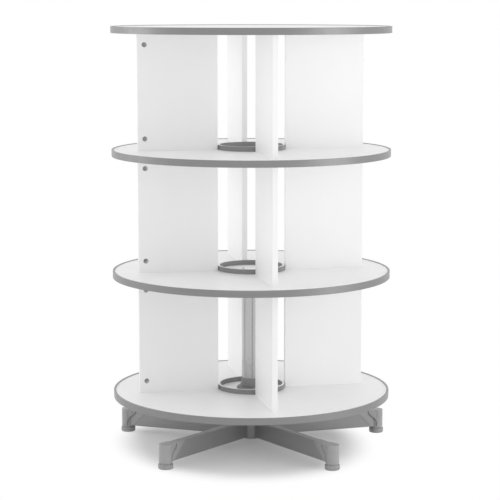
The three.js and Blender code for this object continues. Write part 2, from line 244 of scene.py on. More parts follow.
# %% World
WHITE = (1, 1, 1, 1)
HORIZON_LEVEL = 1.17
ZENITH_LEVEL = 0.8
DIM_SIDE = (-0.64, -0.77, 0.0)  # the front left, where the studio is a little darker
DIM_SHARE = 0.16

world = bpy.data.worlds.new("white_studio")
world.use_nodes = True
sky = world.node_tree
sky.nodes.clear()
direction = place(sky, "ShaderNodeTexCoord", out="Generated")
sky_level = place(sky, "ShaderNodeMapRange", {
    "Value": place(sky, "ShaderNodeSeparateXYZ", {"Vector": direction}, out="Z"),
    "To Min": HORIZON_LEVEL, "To Max": ZENITH_LEVEL,
})
towards_dim = place(sky, "ShaderNodeVectorMath", {"Vector": direction, "Vector_001": DIM_SIDE},
                    out="Value", operation="DOT_PRODUCT")
dimming = maths(sky, "MULTIPLY", maths(sky, "MAXIMUM", towards_dim, 0.0), DIM_SHARE)
sky_level = maths(sky, "MULTIPLY", sky_level, maths(sky, "SUBTRACT", 1.0, dimming))
light_sky = place(sky, "ShaderNodeBackground", {"Color": WHITE, "Strength": sky_level})
seen_sky = place(sky, "ShaderNodeBackground", {"Color": WHITE, "Strength": 1.0})
place(sky, "ShaderNodeOutputWorld", {
    "Surface": mixed_shader(sky, seen_directly(sky), light_sky, seen_sky),
})
bpy.context.scene.world = world
print("ambient light", HORIZON_LEVEL, "to", ZENITH_LEVEL)

# %% [markdown]
# The floor is a matt sheet that catches the tower's real shadow and turns to plain white past
# it. A large sheet would keep the white surroundings from lighting the tower from below, so it
# is small, and it doesn't show from underneath. The shadow is an oval, because the lamps at
# the sides thin it out there.

# %% Where the shadow ends
FLOOR_GREY = (0.8, 0.8, 0.8, 1)
SHADOW_LIFT = 0.1  # light that the cut-out's floor keeps in the deepest shadow
SHADOW_FULL_SHARE = 0.85  # of the shelves' radius
SHADOW_END_SHARE = 1.22
SHADOW_NARROWING = (1.25, 1.0, 1.0)  # makes the oval narrower from side to side
SHADOW_SHIFT = (0.037, 0.0, 0.0)  # moves the oval to the left, away from the key lamp


def past_the_shadow(tree):
    """0 under the tower, rising to 1 beyond its shadow."""
    oval = place(tree, "ShaderNodeVectorMath", {
        "Vector": place(tree, "ShaderNodeTexCoord", out="Object"),
        "Vector_001": SHADOW_NARROWING, "Vector_002": SHADOW_SHIFT,
    }, operation="MULTIPLY_ADD")
    return place(tree, "ShaderNodeMapRange", {
        "Value": place(tree, "ShaderNodeVectorMath", {"Vector": oval}, out="Value", operation="LENGTH"),
        "From Min": SHADOW_FULL_SHARE * shelf_radius,
        "From Max": SHADOW_END_SHARE * shelf_radius,
    }, interpolation_type="SMOOTHSTEP")


# %% [markdown]
# The floor's material mixes three things: matt grey where the shadow falls, light of its own
# where the camera should see white, and nothing at all on the underside. A compositor could
# blend the shadow in later, but then no mirror on the tower would see it.

# %% Floor material
def floor_material():
    material, tree = empty_material("studio_floor")
    seen = seen_directly(tree)
    matt = place(tree, "ShaderNodeBsdfDiffuse", {"Color": FLOOR_GREY})
    lift = place(tree, "ShaderNodeEmission", {"Strength": maths(tree, "MULTIPLY", seen, SHADOW_LIFT)})
    near = place(tree, "ShaderNodeAddShader", {"Shader": matt, "Shader_001": lift})
    paper = place(tree, "ShaderNodeEmission", {"Strength": 1.0})
    beyond = maths(tree, "MULTIPLY", seen, past_the_shadow(tree))
    top_side = mixed_shader(tree, beyond, near, paper)
    underside = place(tree, "ShaderNodeBsdfTransparent")
    from_below = place(tree, "ShaderNodeNewGeometry", out="Backfacing")
    both_sides = mixed_shader(tree, from_below, top_side, underside)
    place(tree, "ShaderNodeOutputMaterial", {"Surface": both_sides})
    return material


# %% [markdown]
# The sheet is a single square face. It lies a hair below the glides, because two faces in
# one place flicker.

# %% Floor sheet
FLOOR_SIDE = 2.4
FLOOR_DROP = 0.1 * MM

floor_mesh = bpy.data.meshes.new("studio_floor")
half_floor = FLOOR_SIDE / 2
floor_corners = [(x * half_floor, y * half_floor, -FLOOR_DROP) for x, y in
                 ((-1, -1), (1, -1), (1, 1), (-1, 1))]
floor_mesh.from_pydata(floor_corners, [], [(0, 1, 2, 3)])
floor_mesh.materials.append(floor_material())
floor = bpy.data.objects.new("studio_floor", floor_mesh)
bpy.context.scene.collection.objects.link(floor)
print("floor", FLOOR_SIDE, "m square")

# %% [markdown]
# A large soft lamp on each side shapes the tower. A lamp could be set in watts by eye, but its
# power is easier to judge as the level that it should add. A lamp of power P lights a surface
# that faces it at distance d as strongly as an even white sky of level P / (pi d)^2.

# %% Lamps
TOWER_MIDDLE = Vector((0, 0, cad_high.z / 2))


def soft_lamp(name, stand_at, side, level):
    data = bpy.data.lights.new(name, "AREA")
    data.size = side
    towards = TOWER_MIDDLE - Vector(stand_at)
    data.energy = level * (math.pi * towards.length) ** 2
    lamp = bpy.data.objects.new(name, data)
    lamp.location = stand_at
    lamp.rotation_euler = towards.to_track_quat("-Z", "Y").to_euler()
    lamp.visible_camera = False
    bpy.context.scene.collection.objects.link(lamp)
    print(name, round(data.energy, 1), "W")


soft_lamp("key_softbox", stand_at=(2.9, -2.1, 1.0), side=1.9, level=0.17)
soft_lamp("fill_softbox", stand_at=(-3.4, 1.2, 1.5), side=1.8, level=0.13)

# %% [markdown]
# ## Effects that several finishes share
# No real surface is even: sheen, tone and wear vary over it. An image could say how, but noise
# is exact at every distance and needs no unwrapping. Each effect is a group of shader nodes
# with named inputs, built once and placed in each material with its own values. A group gives
# back only what varies, and the Principled shader stays in the material itself.

# %% Mottle: a slow or fine cloud between two values
NOISE_FLOOR = 0.3  # nearly all of a noise lies between these two
NOISE_CEILING = 0.7


def new_effect(name, gives, **sizes):
    return new_group("ShaderNodeTree", name, {"Spot": VECTOR, **sizes}, {gives: FLOAT})


def spread(tree, noise, given):
    return place(tree, "ShaderNodeMapRange", {
        "Value": noise, "From Min": NOISE_FLOOR, "From Max": NOISE_CEILING,
        "To Min": given["Low"], "To Max": given["High"],
    })


def mottle_group():
    tree, given = new_effect("mottle", "Value", Scale=FLOAT, Low=FLOAT, High=FLOAT)
    cloud = place(tree, "ShaderNodeTexNoise", {
        "Vector": given["Spot"], "Scale": given["Scale"], "Detail": 4.0, "Roughness": 0.55,
    })
    place(tree, "NodeGroupOutput", {"Value": spread(tree, cloud, given)})
    return tree


MOTTLE = mottle_group()

# %% [markdown]
# Extruded edging and ground tube carry fine lines along the way they were drawn. Real grooves
# would need millions of faces. The lines are noise that is squeezed across the drawing
# direction and hardly at all along it.

# %% Drawn lines: noise stretched one way
def drawn_lines_group():
    tree, given = new_effect("drawn_lines", "Value", Squeeze=VECTOR, Low=FLOAT, High=FLOAT)
    squeezed = place(tree, "ShaderNodeVectorMath", {
        "Vector": given["Spot"], "Vector_001": given["Squeeze"],
    }, operation="MULTIPLY")
    lines = place(tree, "ShaderNodeTexNoise", {
        "Vector": squeezed, "Scale": 1.0, "Detail": 3.0, "Roughness": 0.6,
    })
    place(tree, "NodeGroupOutput", {"Value": spread(tree, lines, given)})
    return tree


DRAWN_LINES = drawn_lines_group()

# %% [markdown]
# Edges lose their bloom first. A bevel node could find the edges by itself, but only the ray
# tracer has it, and it is slow. So the pieces that are turned, swept or bevelled here carry a
# number on their faces, 1 in the easing and 0 on the flats, and the wear is that number
# broken up by noise. Dust is found by the way a surface faces: it lies on what looks up. On
# the powder-coated base the same mask, made lighter, is also a painted highlight on the tops.

# %% Edge wear, and dust that is also a painted highlight on tops
EASED = "eased"  # the number on the faces
LEAST_WEAR = 0.25  # the share of the wear that every spot of an edge has
TOP_MASK_LEAST_UPWARD = 0.6  # dust, and the painted highlight on the base's tops, start on slopes that face up this much


def cloud_between(tree, given, low, high):
    inputs = {"Spot": given["Spot"], "Scale": given["Scale"], "Low": low, "High": high}
    return place(tree, "ShaderNodeGroup", inputs, node_tree=MOTTLE)


def edge_wear_group():
    tree, given = new_effect("edge_wear", "Mask", Scale=FLOAT, Amount=FLOAT)
    easing = place(tree, "ShaderNodeAttribute", out="Fac", attribute_name=EASED)
    worn = maths(tree, "MULTIPLY", easing, cloud_between(tree, given, LEAST_WEAR, 1.0))
    place(tree, "NodeGroupOutput", {"Mask": maths(tree, "MULTIPLY", worn, given["Amount"])})
    return tree


def dust_and_top_highlight_group():
    tree, given = new_effect("dust_and_top_highlight", "Mask", Scale=FLOAT, Amount=FLOAT)
    normal = place(tree, "ShaderNodeNewGeometry", out="Normal")
    facing_up = place(tree, "ShaderNodeMapRange", {
        "Value": place(tree, "ShaderNodeSeparateXYZ", {"Vector": normal}, out="Z"),
        "From Min": TOP_MASK_LEAST_UPWARD, "From Max": 1.0,
    })
    upward_patches = maths(tree, "MULTIPLY", facing_up, cloud_between(tree, given, 0.0, 1.0))
    place(tree, "NodeGroupOutput", {"Mask": maths(tree, "MULTIPLY", upward_patches, given["Amount"])})
    return tree


EDGE_WEAR = edge_wear_group()
DUST_AND_TOP_HIGHLIGHT = dust_and_top_highlight_group()

# %% [markdown]
# Boards faced with melamine and moulded plastic are both pressed against a textured plate,
# which leaves shallow pits, and powder paint melts into an even ripple. Noise would give spots
# of all sizes. A smooth cell pattern gives pits of one size.

# %% Pressed texture: even shallow pits
def pressed_texture_group():
    tree, given = new_effect("pressed_texture", "Height", Scale=FLOAT, Softness=FLOAT)
    pits = place(tree, "ShaderNodeTexVoronoi", {
        "Vector": given["Spot"], "Scale": given["Scale"], "Smoothness": given["Softness"],
    }, feature="SMOOTH_F1")
    place(tree, "NodeGroupOutput", {"Height": pits})
    return tree


PRESSED_TEXTURE = pressed_texture_group()

# %% [markdown]
# ## Finishes
# Every finish is built up in the same order, as a painter would: a base tone that varies a
# little, marks over it, such as dust and rubbed edges, then the sheen, and last the relief.
# A small class keeps the tree, the place on the piece and the colour so far, so that each
# finish below reads as a list of its layers. What is even all over is set on the Principled
# shader's own sockets.

# %% Layers of a finish
def grey(level):
    return (level, level, level, 1.0)


class Finish:
    """A finish under way: its material, the place on the piece and the colour so far."""

    def __init__(self, name):
        self.material, self.tree = empty_material(name)
        self.spot = place(self.tree, "ShaderNodeTexCoord", out="Object")

    def effect(self, group, **sizes):
        return place(self.tree, "ShaderNodeGroup", {"Spot": self.spot, **sizes}, node_tree=group)

    def mixed(self, mask, first, second):
        inputs = {"Factor_Float": mask, "A_Color": first, "B_Color": second}
        return place(self.tree, "ShaderNodeMix", inputs, out="Result_Color", data_type="RGBA")

    def tone(self, mask, darkest, lightest):
        self.colour = self.mixed(mask, grey(darkest), grey(lightest))

    def mark(self, group, level, **sizes):
        self.colour = self.mixed(self.effect(group, **sizes), self.colour, grey(level))

    def close(self, sheen, relief, depth, strength, **even):
        bump = {"Height": relief, "Distance": depth, "Strength": strength}
        shader = place(self.tree, "ShaderNodeBsdfPrincipled", {
            "Base Color": self.colour,
            "Roughness": sheen,
            "Normal": place(self.tree, "ShaderNodeBump", bump),
            **{label.replace("_", " "): value for label, value in even.items()},
        })
        place(self.tree, "ShaderNodeOutputMaterial", {"Surface": shader})
        print("finish", self.material.name)
        return self.material


# %% [markdown]
# The boards are particleboard pressed with white melamine paper. Plain white looks like card.
# A fine pearl in the surface breaks up the reflections, and its sheen varies slowly, as on a
# real sheet.

# %% White melamine
def white_melamine():
    finish = Finish("white_melamine")
    cloud = finish.effect(MOTTLE, Scale=5.0, Low=0.0, High=1.0)
    finish.tone(cloud, darkest=0.905, lightest=0.92)
    finish.mark(DUST_AND_TOP_HIGHLIGHT, level=0.78, Scale=9.0, Amount=0.05)
    finish.mark(EDGE_WEAR, level=0.74, Scale=60.0, Amount=0.3)
    sheen = finish.effect(MOTTLE, Scale=18.0, Low=0.34, High=0.44)
    pearl = finish.effect(PRESSED_TEXTURE, Scale=900.0, Softness=0.6)
    return finish.close(sheen, pearl, depth=0.12 * MM, strength=0.25, Metallic=0.0)


WHITE_MELAMINE = white_melamine()

# %% [markdown]
# The shelves are edged with a grey plastic band that has a metallic effect: flake under a
# clear skin. Full metal would mirror the studio too sharply, so the shader is part metal under
# a dull coat. The band is extruded, so it carries faint lines along the rim, and its corners
# are rubbed a little lighter.

# %% Silver-grey edging
def silver_edging():
    finish = Finish("silver_edging")
    lines = finish.effect(DRAWN_LINES, Squeeze=(7.0, 7.0, 1400.0), Low=0.0, High=1.0)
    finish.tone(lines, darkest=0.23, lightest=0.26)
    finish.mark(EDGE_WEAR, level=0.33, Scale=40.0, Amount=0.5)
    sheen = finish.effect(MOTTLE, Scale=30.0, Low=0.4, High=0.5)
    return finish.close(sheen, lines, depth=0.05 * MM, strength=0.2,
                        Metallic=0.7, Coat_Weight=0.4, Coat_Roughness=0.35)


SILVER_EDGING = silver_edging()

# %% [markdown]
# The stop rings, feet, glides, flange and bearing ring are moulded plastics. They differ in
# grey, in dullness and in how fine the mould's texture is, so one function with these sizes
# makes them all.

# %% Moulded plastics
TONE_SPREAD = 0.04  # lighter and darker than the level
DULLNESS_SPREAD = 0.06
# a light grey: dust on the plastics, and on the base also a painted highlight on the tops
DUST_AND_HIGHLIGHT_GREY = 0.5


def moulded_plastic(name, level, dull, worn_level, pit_scale):
    finish = Finish(name)
    cloud = finish.effect(MOTTLE, Scale=45.0, Low=0.0, High=1.0)
    finish.tone(cloud, level * (1 - TONE_SPREAD), level * (1 + TONE_SPREAD))
    finish.mark(EDGE_WEAR, worn_level, Scale=90.0, Amount=0.6)
    finish.mark(DUST_AND_TOP_HIGHLIGHT, DUST_AND_HIGHLIGHT_GREY, Scale=70.0, Amount=0.1)
    sheen = finish.effect(MOTTLE, Scale=120.0, Low=dull - DULLNESS_SPREAD, High=dull + DULLNESS_SPREAD)
    pits = finish.effect(PRESSED_TEXTURE, Scale=pit_scale, Softness=0.4)
    return finish.close(sheen, pits, depth=0.1 * MM, strength=0.3, Metallic=0.0)


RING_PLASTIC = moulded_plastic("ring_plastic", 0.24, dull=0.35, worn_level=0.32, pit_scale=1400.0)
HOUSING_PLASTIC = moulded_plastic("housing_plastic", 0.37, dull=0.42, worn_level=0.44, pit_scale=1200.0)
GLIDE_PLASTIC = moulded_plastic("glide_plastic", 0.34, dull=0.52, worn_level=0.40, pit_scale=1500.0)
FLANGE_PLASTIC = moulded_plastic("flange_plastic", 0.24, dull=0.42, worn_level=0.31, pit_scale=1400.0)
DARK_PLASTIC = moulded_plastic("dark_plastic", 0.07, dull=0.48, worn_level=0.11, pit_scale=1600.0)

# %% [markdown]
# ## Metals
# A metal's colour is its reflection. The post is ground and plated: a soft mirror, with
# fine upright lines and faint smudges where hands have held it. A perfect mirror would show
# only white and black here, so its sheen is kept a little soft.

# %% Polished post
def polished_post():
    finish = Finish("polished_post")
    lines = finish.effect(DRAWN_LINES, Squeeze=(900.0, 900.0, 5.0), Low=0.0, High=1.0)
    finish.tone(lines, darkest=0.43, lightest=0.49)
    smudges = finish.effect(MOTTLE, Scale=22.0, Low=0.14, High=0.21)
    grain = finish.effect(DRAWN_LINES, Squeeze=(1500.0, 1500.0, 9.0), Low=-0.02, High=0.03)
    sheen = maths(finish.tree, "ADD", smudges, grain)
    return finish.close(sheen, lines, depth=0.01 * MM, strength=0.1, Metallic=1.0)


POLISHED_POST = polished_post()

# %% [markdown]
# Screws, plugs, plates and cam fittings are zinc plated, which is greyer and much duller than
# chromium. Its crystals show as a cloud of small patches, and the rubbed corners shine.

# %% Zinc-plated steel
def zinc_steel():
    finish = Finish("zinc_steel")
    cloud = finish.effect(MOTTLE, Scale=260.0, Low=0.0, High=1.0)
    finish.tone(cloud, darkest=0.42, lightest=0.5)
    finish.mark(EDGE_WEAR, level=0.6, Scale=200.0, Amount=0.6)
    sheen = finish.effect(MOTTLE, Scale=420.0, Low=0.28, High=0.42)
    return finish.close(sheen, cloud, depth=0.03 * MM, strength=0.2, Metallic=1.0)


ZINC_STEEL = zinc_steel()

# %% [markdown]
# The base is powder coated. The powder melts into a skin with a slight orange-peel ripple,
# and the fine flake in it shows as a light speckle. Its upward faces carry light dust, which
# is also a painted highlight that lightens the tops of the legs. The sheen stays above 0.28.
# Where it crosses about that value, the denoiser takes the smoother spots for mirrors and
# leaves dark specks there.

# %% Grey powder coat
def powder_coat():
    finish = Finish("grey_powder_coat")
    flake = finish.effect(MOTTLE, Scale=700.0, Low=0.0, High=1.0)
    finish.tone(flake, darkest=0.295, lightest=0.315)
    # light dust on the upward faces, which is also a painted highlight that lightens the legs' tops
    finish.mark(DUST_AND_TOP_HIGHLIGHT, DUST_AND_HIGHLIGHT_GREY, Scale=35.0, Amount=0.45)
    finish.mark(EDGE_WEAR, level=0.38, Scale=70.0, Amount=0.5)
    sheen = finish.effect(MOTTLE, Scale=90.0, Low=0.29, High=0.35)
    peel = finish.effect(PRESSED_TEXTURE, Scale=380.0, Softness=1.0)
    return finish.close(sheen, peel, depth=0.08 * MM, strength=0.25, Metallic=0.3)


POWDER_COAT = powder_coat()

# %% [markdown]
# ## Helpers for pieces
# A finished piece is an object at the origin whose place is in its mesh. It gets smooth
# shading with real corners kept sharp. Smooth shading alone would bend the light across a flat
# beside a narrow easing, and weighted normals keep the flat even.

# %% Add, shade and dress a piece
CORNER_ANGLE = math.radians(42)


def add_piece(name, mesh, material=None):
    piece = bpy.data.objects.new(name, mesh)
    bpy.context.scene.collection.objects.link(piece)
    if material:
        mesh.materials.clear()
        mesh.materials.append(material)
    return piece


def finish_piece(piece, body, slot, *nodes):
    piece.data.shade_smooth()
    piece.data.set_sharp_from_angle(angle=CORNER_ANGLE)
    piece.modifiers.new("even_flats", "WEIGHTED_NORMAL").keep_sharp = True
    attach(piece, body)
    if nodes:
        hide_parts(*nodes)
    print(piece.name, len(piece.data.polygons), "faces on", body)


# %% [markdown]
# A piece that a lathe could make is a profile swept once round an axis. Its corners could be
# bevelled afterwards, but rounding them in the profile, before it is swept, costs few faces
# and never fails. The same pass marks which faces lie in a rounding.

# %% Round the corners of a profile
EASING_STEPS = 3
LONGEST_EASING_SHARE = 0.45  # of the shorter side at a corner
SHARP = 0.001 * MM  # an easing too small to see, for shapes that only cut


def eased_profile(points, easing, closed):
    spots, rounding = [], []
    for k, point in enumerate(points):
        corner = Vector(point)
        if not closed and k in (0, len(points) - 1):
            spots.append(corner)
            rounding.append(0.0)
            continue
        before = Vector(points[k - 1]) - corner
        after = Vector(points[(k + 1) % len(points)]) - corner
        reach = min(easing, LONGEST_EASING_SHARE * min(before.length, after.length))
        start = corner + before.normalized() * reach
        end = corner + after.normalized() * reach
        for step in range(EASING_STEPS + 1):
            t = step / EASING_STEPS
            spots.append(start * (1 - t) ** 2 + corner * 2 * t * (1 - t) + end * t**2)
            rounding.append(1.0 if step < EASING_STEPS else 0.0)
    return spots, rounding


# %% [markdown]
# The sweep could be left to a screw modifier. Setting out the rings here is as short, lets
# a ring on the axis close to a single point, and gives every band of faces its mark at
# once. An open profile from axis to axis makes a solid, and a closed one makes a tube.

# %% Turn a profile
def mesh_from(shell, name):
    mesh = bpy.data.meshes.new(name)
    shell.to_mesh(mesh)
    shell.free()
    return mesh


def turned_mesh(name, profile, easing, segments, closed=False):
    spots, rounding = eased_profile(profile, easing, closed)
    shell = bmesh.new()
    easing_layer = shell.faces.layers.float.new(EASED)
    rings = []
    for radius, height in spots:
        around = 1 if radius == 0 else segments
        angles = [2 * math.pi * j / around for j in range(around)]
        rings.append([shell.verts.new((radius * math.cos(a), radius * math.sin(a), height))
                      for a in angles])
    for k in range(len(spots) if closed else len(spots) - 1):
        inner, outer = rings[k], rings[(k + 1) % len(rings)]
        for j in range(segments):
            corners = [ring[(j + step) % len(ring)] for ring, step in
                       ((inner, 0), (inner, 1), (outer, 1), (outer, 0))]
            face = shell.faces.new(list(dict.fromkeys(corners)))
            face[easing_layer] = rounding[k]
    return mesh_from(shell, name)


def tube_profile(bore, radius, low, high):
    return [(bore, low), (radius, low), (radius, high), (bore, high)]


# %% [markdown]
# Flat stock, such as a board or the head of a bolt, is an outline drawn out from one height
# to another. A cube could be scaled and cut to it, but an outline states the shape itself.

# %% Draw out an outline
def drawn_mesh(name, outline, low, high):
    count = len(outline)
    points = [(x, y, z) for z in (low, high) for x, y in outline]
    walls = [(k, (k + 1) % count, (k + 1) % count + count, k + count) for k in range(count)]
    caps = [tuple(reversed(range(count))), tuple(range(count, 2 * count))]
    mesh = bpy.data.meshes.new(name)
    mesh.from_pydata(points, [], walls + caps)
    return mesh


def hexagon(radius):
    corners = [k * math.pi / 3 for k in range(6)]
    return [(radius * math.cos(a), radius * math.sin(a)) for a in corners]


# %% [markdown]
# Holes and joins are made with exact booleans, which keep flat faces flat, where a remesh
# would soften them. The result is taken out as a plain mesh at once, so that no modifier is
# left waiting. A cutter stands a little proud of the face that it cuts, because two faces in
# one plane give a boolean nothing to decide by.

# %% Cut and join
PROUD = 1.0 * MM


def evaluated_mesh(piece):
    graph = bpy.context.evaluated_depsgraph_get()
    return bpy.data.meshes.new_from_object(piece.evaluated_get(graph), depsgraph=graph)


def carve(piece, tool_mesh, operation="DIFFERENCE"):
    tool = add_piece("tool", tool_mesh)
    modifier = piece.modifiers.new("carve", "BOOLEAN")
    modifier.operation = operation
    modifier.object = tool
    result = evaluated_mesh(piece)
    piece.modifiers.clear()
    piece.data = result
    bpy.data.objects.remove(tool)


# %% [markdown]
# A pressed or sawn edge is never quite sharp. Where the profile can't be rounded beforehand,
# the edges at which two faces meet at a corner are bevelled, and the new faces are marked
# for the wear, like the roundings of a turned piece.

# %% Ease the edges of a mesh
def ease_edges(mesh, width, steps=2, corner=math.radians(50)):
    shell = bmesh.new()
    shell.from_mesh(mesh)
    easing_layer = shell.faces.layers.float.new(EASED)
    edges = [e for e in shell.edges
             if e.is_manifold and e.is_convex and e.calc_face_angle() > corner]
    made = bmesh.ops.bevel(shell, geom=edges, offset=width, segments=steps, profile=0.5,
                           affect="EDGES", clamp_overlap=True)
    for face in made["faces"]:
        face[easing_layer] = 1.0
    shell.to_mesh(mesh)
    shell.free()


# %% [markdown]
# ## What repeats or follows a rule: Geometry Nodes
# A tree is grown on an empty object. Its inputs are set by their identifiers before the
# object is first evaluated, and the result is taken out as a plain mesh. Every tree ends in
# the same way: instances made real, because an export drops them, and one material set.

# %% Grow a tree into a mesh
def new_rule(name, **sizes):
    inputs = {label.replace("_", " "): kind for label, kind in sizes.items()}
    return new_group("GeometryNodeTree", name, {**inputs, "Material": MATERIAL}, {"Geometry": GEOMETRY})


def close_rule(tree, given, geometry):
    real = place(tree, "GeometryNodeRealizeInstances", {"Geometry": geometry})
    dressed = {"Geometry": real, "Material": given["Material"]}
    place(tree, "NodeGroupOutput", {"Geometry": place(tree, "GeometryNodeSetMaterial", dressed)})
    return tree


def grow(name, tree, **sizes):
    seed = add_piece(name, bpy.data.meshes.new(name))
    modifier = seed.modifiers.new("grow", "NODES")
    modifier.node_group = tree
    labels = {item.name: item.identifier for item in tree.interface.items_tree
              if item.item_type == "SOCKET" and item.in_out == "INPUT"}
    for key, value in sizes.items():
        modifier[labels[key.replace("_", " ")]] = value
    mesh = evaluated_mesh(seed)
    seed.modifiers.clear()
    seed.data = mesh
    return seed


# %% [markdown]
# The trees are put together from a few moves: points set out in a line or on a circle, a
# shape repeated on points, and a shape moved or turned.

# %% Moves that the trees share
def upright(tree, height):
    """A vector along Z: a height or, as a turn, an angle about the Z axis."""
    return place(tree, "ShaderNodeCombineXYZ", {"Z": height})


def set_out(tree, count, start=(0, 0, 0), offset=(0, 0, 0)):
    inputs = {"Count": count, "Start Location": start, "Offset": offset}
    return place(tree, "GeometryNodeMeshLine", inputs)


def points_on_circle(tree, count, radius):
    return place(tree, "GeometryNodeMeshCircle", {"Vertices": count, "Radius": radius})


def repeated(tree, points, instance, **angles):
    """The instance on every point, turned by the angles=vector where that is given."""
    inputs = {"Points": points, "Instance": instance}
    for euler in angles.values():
        inputs["Rotation"] = place(tree, "FunctionNodeEulerToRotation", {"Euler": euler})
    return place(tree, "GeometryNodeInstanceOnPoints", inputs)


def moved(tree, geometry, **moves):
    return place(tree, "GeometryNodeTransform", {"Geometry": geometry, **moves})


def circle_curve(tree, radius, steps):
    return place(tree, "GeometryNodeCurvePrimitiveCircle", {"Resolution": steps, "Radius": radius})


def shape_of(tree, source):
    return place(tree, "GeometryNodeObjectInfo", {"Object": source}, out="Geometry")


# %% [markdown]
# ## Shelves
# A shelf is a round board with its holes. It could be a cylinder with booleans. The rule is
# shorter: fill a set of circles, then draw the flat shape up by the board's thickness. The
# same tree makes the steel pivot plate.

# %% Round board tree
RIM_STEPS = 256
HOLE_STEPS = 48
WELD_DISTANCE = 0.001 * MM


def round_board_tree():
    tree, given = new_rule(
        "round_board", Radius=FLOAT, Bore=FLOAT, Bottom=FLOAT, Top=FLOAT, Holes=COUNT,
        Hole_circle=FLOAT, Hole_radius=FLOAT, Hole_turn=FLOAT)

    def only_if(size, geometry):
        wanted = place(tree, "FunctionNodeCompare", {"A": size, "B": 0.0}, operation="GREATER_THAN")
        inputs = {"Switch": wanted, "True": geometry}
        return place(tree, "GeometryNodeSwitch", inputs, out="Output", input_type="GEOMETRY")

    centres = points_on_circle(tree, given["Holes"], given["Hole circle"])
    holes = repeated(tree, centres, circle_curve(tree, given["Hole radius"], HOLE_STEPS))
    holes = moved(tree, holes, Rotation=upright(tree, given["Hole turn"]))
    holes = place(tree, "GeometryNodeRealizeInstances", {"Geometry": holes})
    outline = place(tree, "GeometryNodeJoinGeometry", {"Geometry": [
        circle_curve(tree, given["Radius"], RIM_STEPS),
        only_if(given["Bore"], circle_curve(tree, given["Bore"], HOLE_STEPS * 2)),
        only_if(given["Hole radius"], holes),
    ]})
    sheet = place(tree, "GeometryNodeFillCurve", {"Curve": outline}, mode="NGONS")
    upper = place(tree, "GeometryNodeExtrudeMesh", {
        "Mesh": sheet, "Individual": False,
        "Offset Scale": maths(tree, "SUBTRACT", given["Top"], given["Bottom"]),
    })
    under = place(tree, "GeometryNodeFlipFaces", {"Mesh": sheet})
    board = place(tree, "GeometryNodeJoinGeometry", {"Geometry": [upper, under]})
    merged = {"Geometry": board, "Distance": WELD_DISTANCE}
    board = place(tree, "GeometryNodeMergeByDistance", merged)
    return close_rule(tree, given, moved(tree, board, Translation=upright(tree, given["Bottom"])))


ROUND_BOARD = round_board_tree()

# %% [markdown]
# The real shelves are plain boards, 16 mm thick. The lowest has a hole for the post, and the
# second has four for the pivot plate's screws. They could be modelled one by one, but they
# differ only in their heights and holes, so a loop asks the tree for four. Each ends just
# inside its edging, with a glue line between.

# %% Four shelf boards
EDGE_WALL = 2.0 * MM
GLUE_LINE = 0.05 * MM
SCREW_COUNT = 4
SCREW_HOLE = 2.5 * MM
screw_circle = math.hypot(*middle("pivot_screw_1").xy)
screw_turn = math.radians(45)
post_hole = radii("bottom_shelf")[0]

for name in SHELVES:
    low, high = heights(f"{name}_shelf")
    board = grow(
        f"{name}_shelf_board", ROUND_BOARD, Radius=shelf_radius - EDGE_WALL - GLUE_LINE,
        Bore=post_hole if name == "bottom" else 0.0, Bottom=low, Top=high,
        Holes=SCREW_COUNT, Hole_circle=screw_circle, Hole_turn=screw_turn,
        Hole_radius=SCREW_HOLE if name == "lower" else 0.0, Material=WHITE_MELAMINE,
    )
    finish_piece(board, "tower", "white_melamine", f"{name}_shelf")

# %% [markdown]
# ## Rings and bands
# The edging and the stop rings are both a section swept round a circle. The edging is one
# strip with a U section, whose two lips lie on the board, and its ends meet in a fine butt
# joint behind the tower. A lathe would leave no joint. So the section goes along a path, and
# the path stops short of a full turn by the joint's gap.

# %% Swept ring tree
def swept_ring_tree():
    tree, given = new_rule(
        "swept_ring", Section=OBJECT, Radius=FLOAT, Steps=COUNT, Joint_angle=FLOAT, Joint_gap=FLOAT)
    missing = maths(tree, "DIVIDE", given["Joint gap"], given["Radius"])
    path = place(tree, "GeometryNodeCurveArc", {
        "Resolution": given["Steps"], "Radius": given["Radius"],
        "Start Angle": given["Joint angle"],
        "Sweep Angle": maths(tree, "SUBTRACT", 2 * math.pi, missing),
    }, mode="RADIUS")
    section = place(tree, "GeometryNodeMeshToCurve", {"Mesh": shape_of(tree, given["Section"])})
    ring = {"Curve": path, "Profile Curve": section, "Fill Caps": True}
    return close_rule(tree, given, place(tree, "GeometryNodeCurveToMesh", ring))


SWEPT_RING = swept_ring_tree()

# %% [markdown]
# The section is a loop of edges. The sweep lays its X outwards and its Y downwards, so a
# point goes in as its distance from the sweep's circle and its height turned round. A face of
# the ring that leans is one of the roundings, and it is marked for the wear.

# %% One ring from its corners
LEAST_LEAN = 0.1  # a face's upward share, for a rounding
MOST_LEAN = 0.99


def swept_ring(name, corners, easing, steps, joint_angle, joint_gap, material):
    """Sweeps corners, (radius, height) pairs, round the axis and marks the roundings."""
    radius = max(r for r, z in corners)
    spots = eased_profile(corners, easing, closed=True)[0][::-1]
    loop = [(k, (k + 1) % len(spots)) for k in range(len(spots))]
    section = bpy.data.meshes.new("section")
    section.from_pydata([(spot.x - radius, -spot.y, 0) for spot in spots], loop, [])
    section = add_piece("section", section)
    ring = grow(name, SWEPT_RING, Section=section, Radius=radius, Steps=steps,
                Joint_angle=joint_angle, Joint_gap=joint_gap, Material=material)
    bpy.data.objects.remove(section)
    marks = ring.data.attributes.new(EASED, "FLOAT", "FACE")
    for face, mark in zip(ring.data.polygons, marks.data):
        mark.value = 1.0 if LEAST_LEAN < abs(face.normal.z) < MOST_LEAN else 0.0
    return ring


# %% [markdown]
# The frame's band gives the outside of the lips, and its board gives the bed that they
# grip, so the U always fits. Joints made by hand never stand exactly above each other, so
# each shelf has its own angle for the joint.

# %% Edging of the shelves
BAND_EASING = 0.5 * MM
BAND_JOINT_GAP = 0.25 * MM
BAND_JOINTS = [math.radians(a) for a in (97, 81, 104, 88)]  # behind, each shelf its own

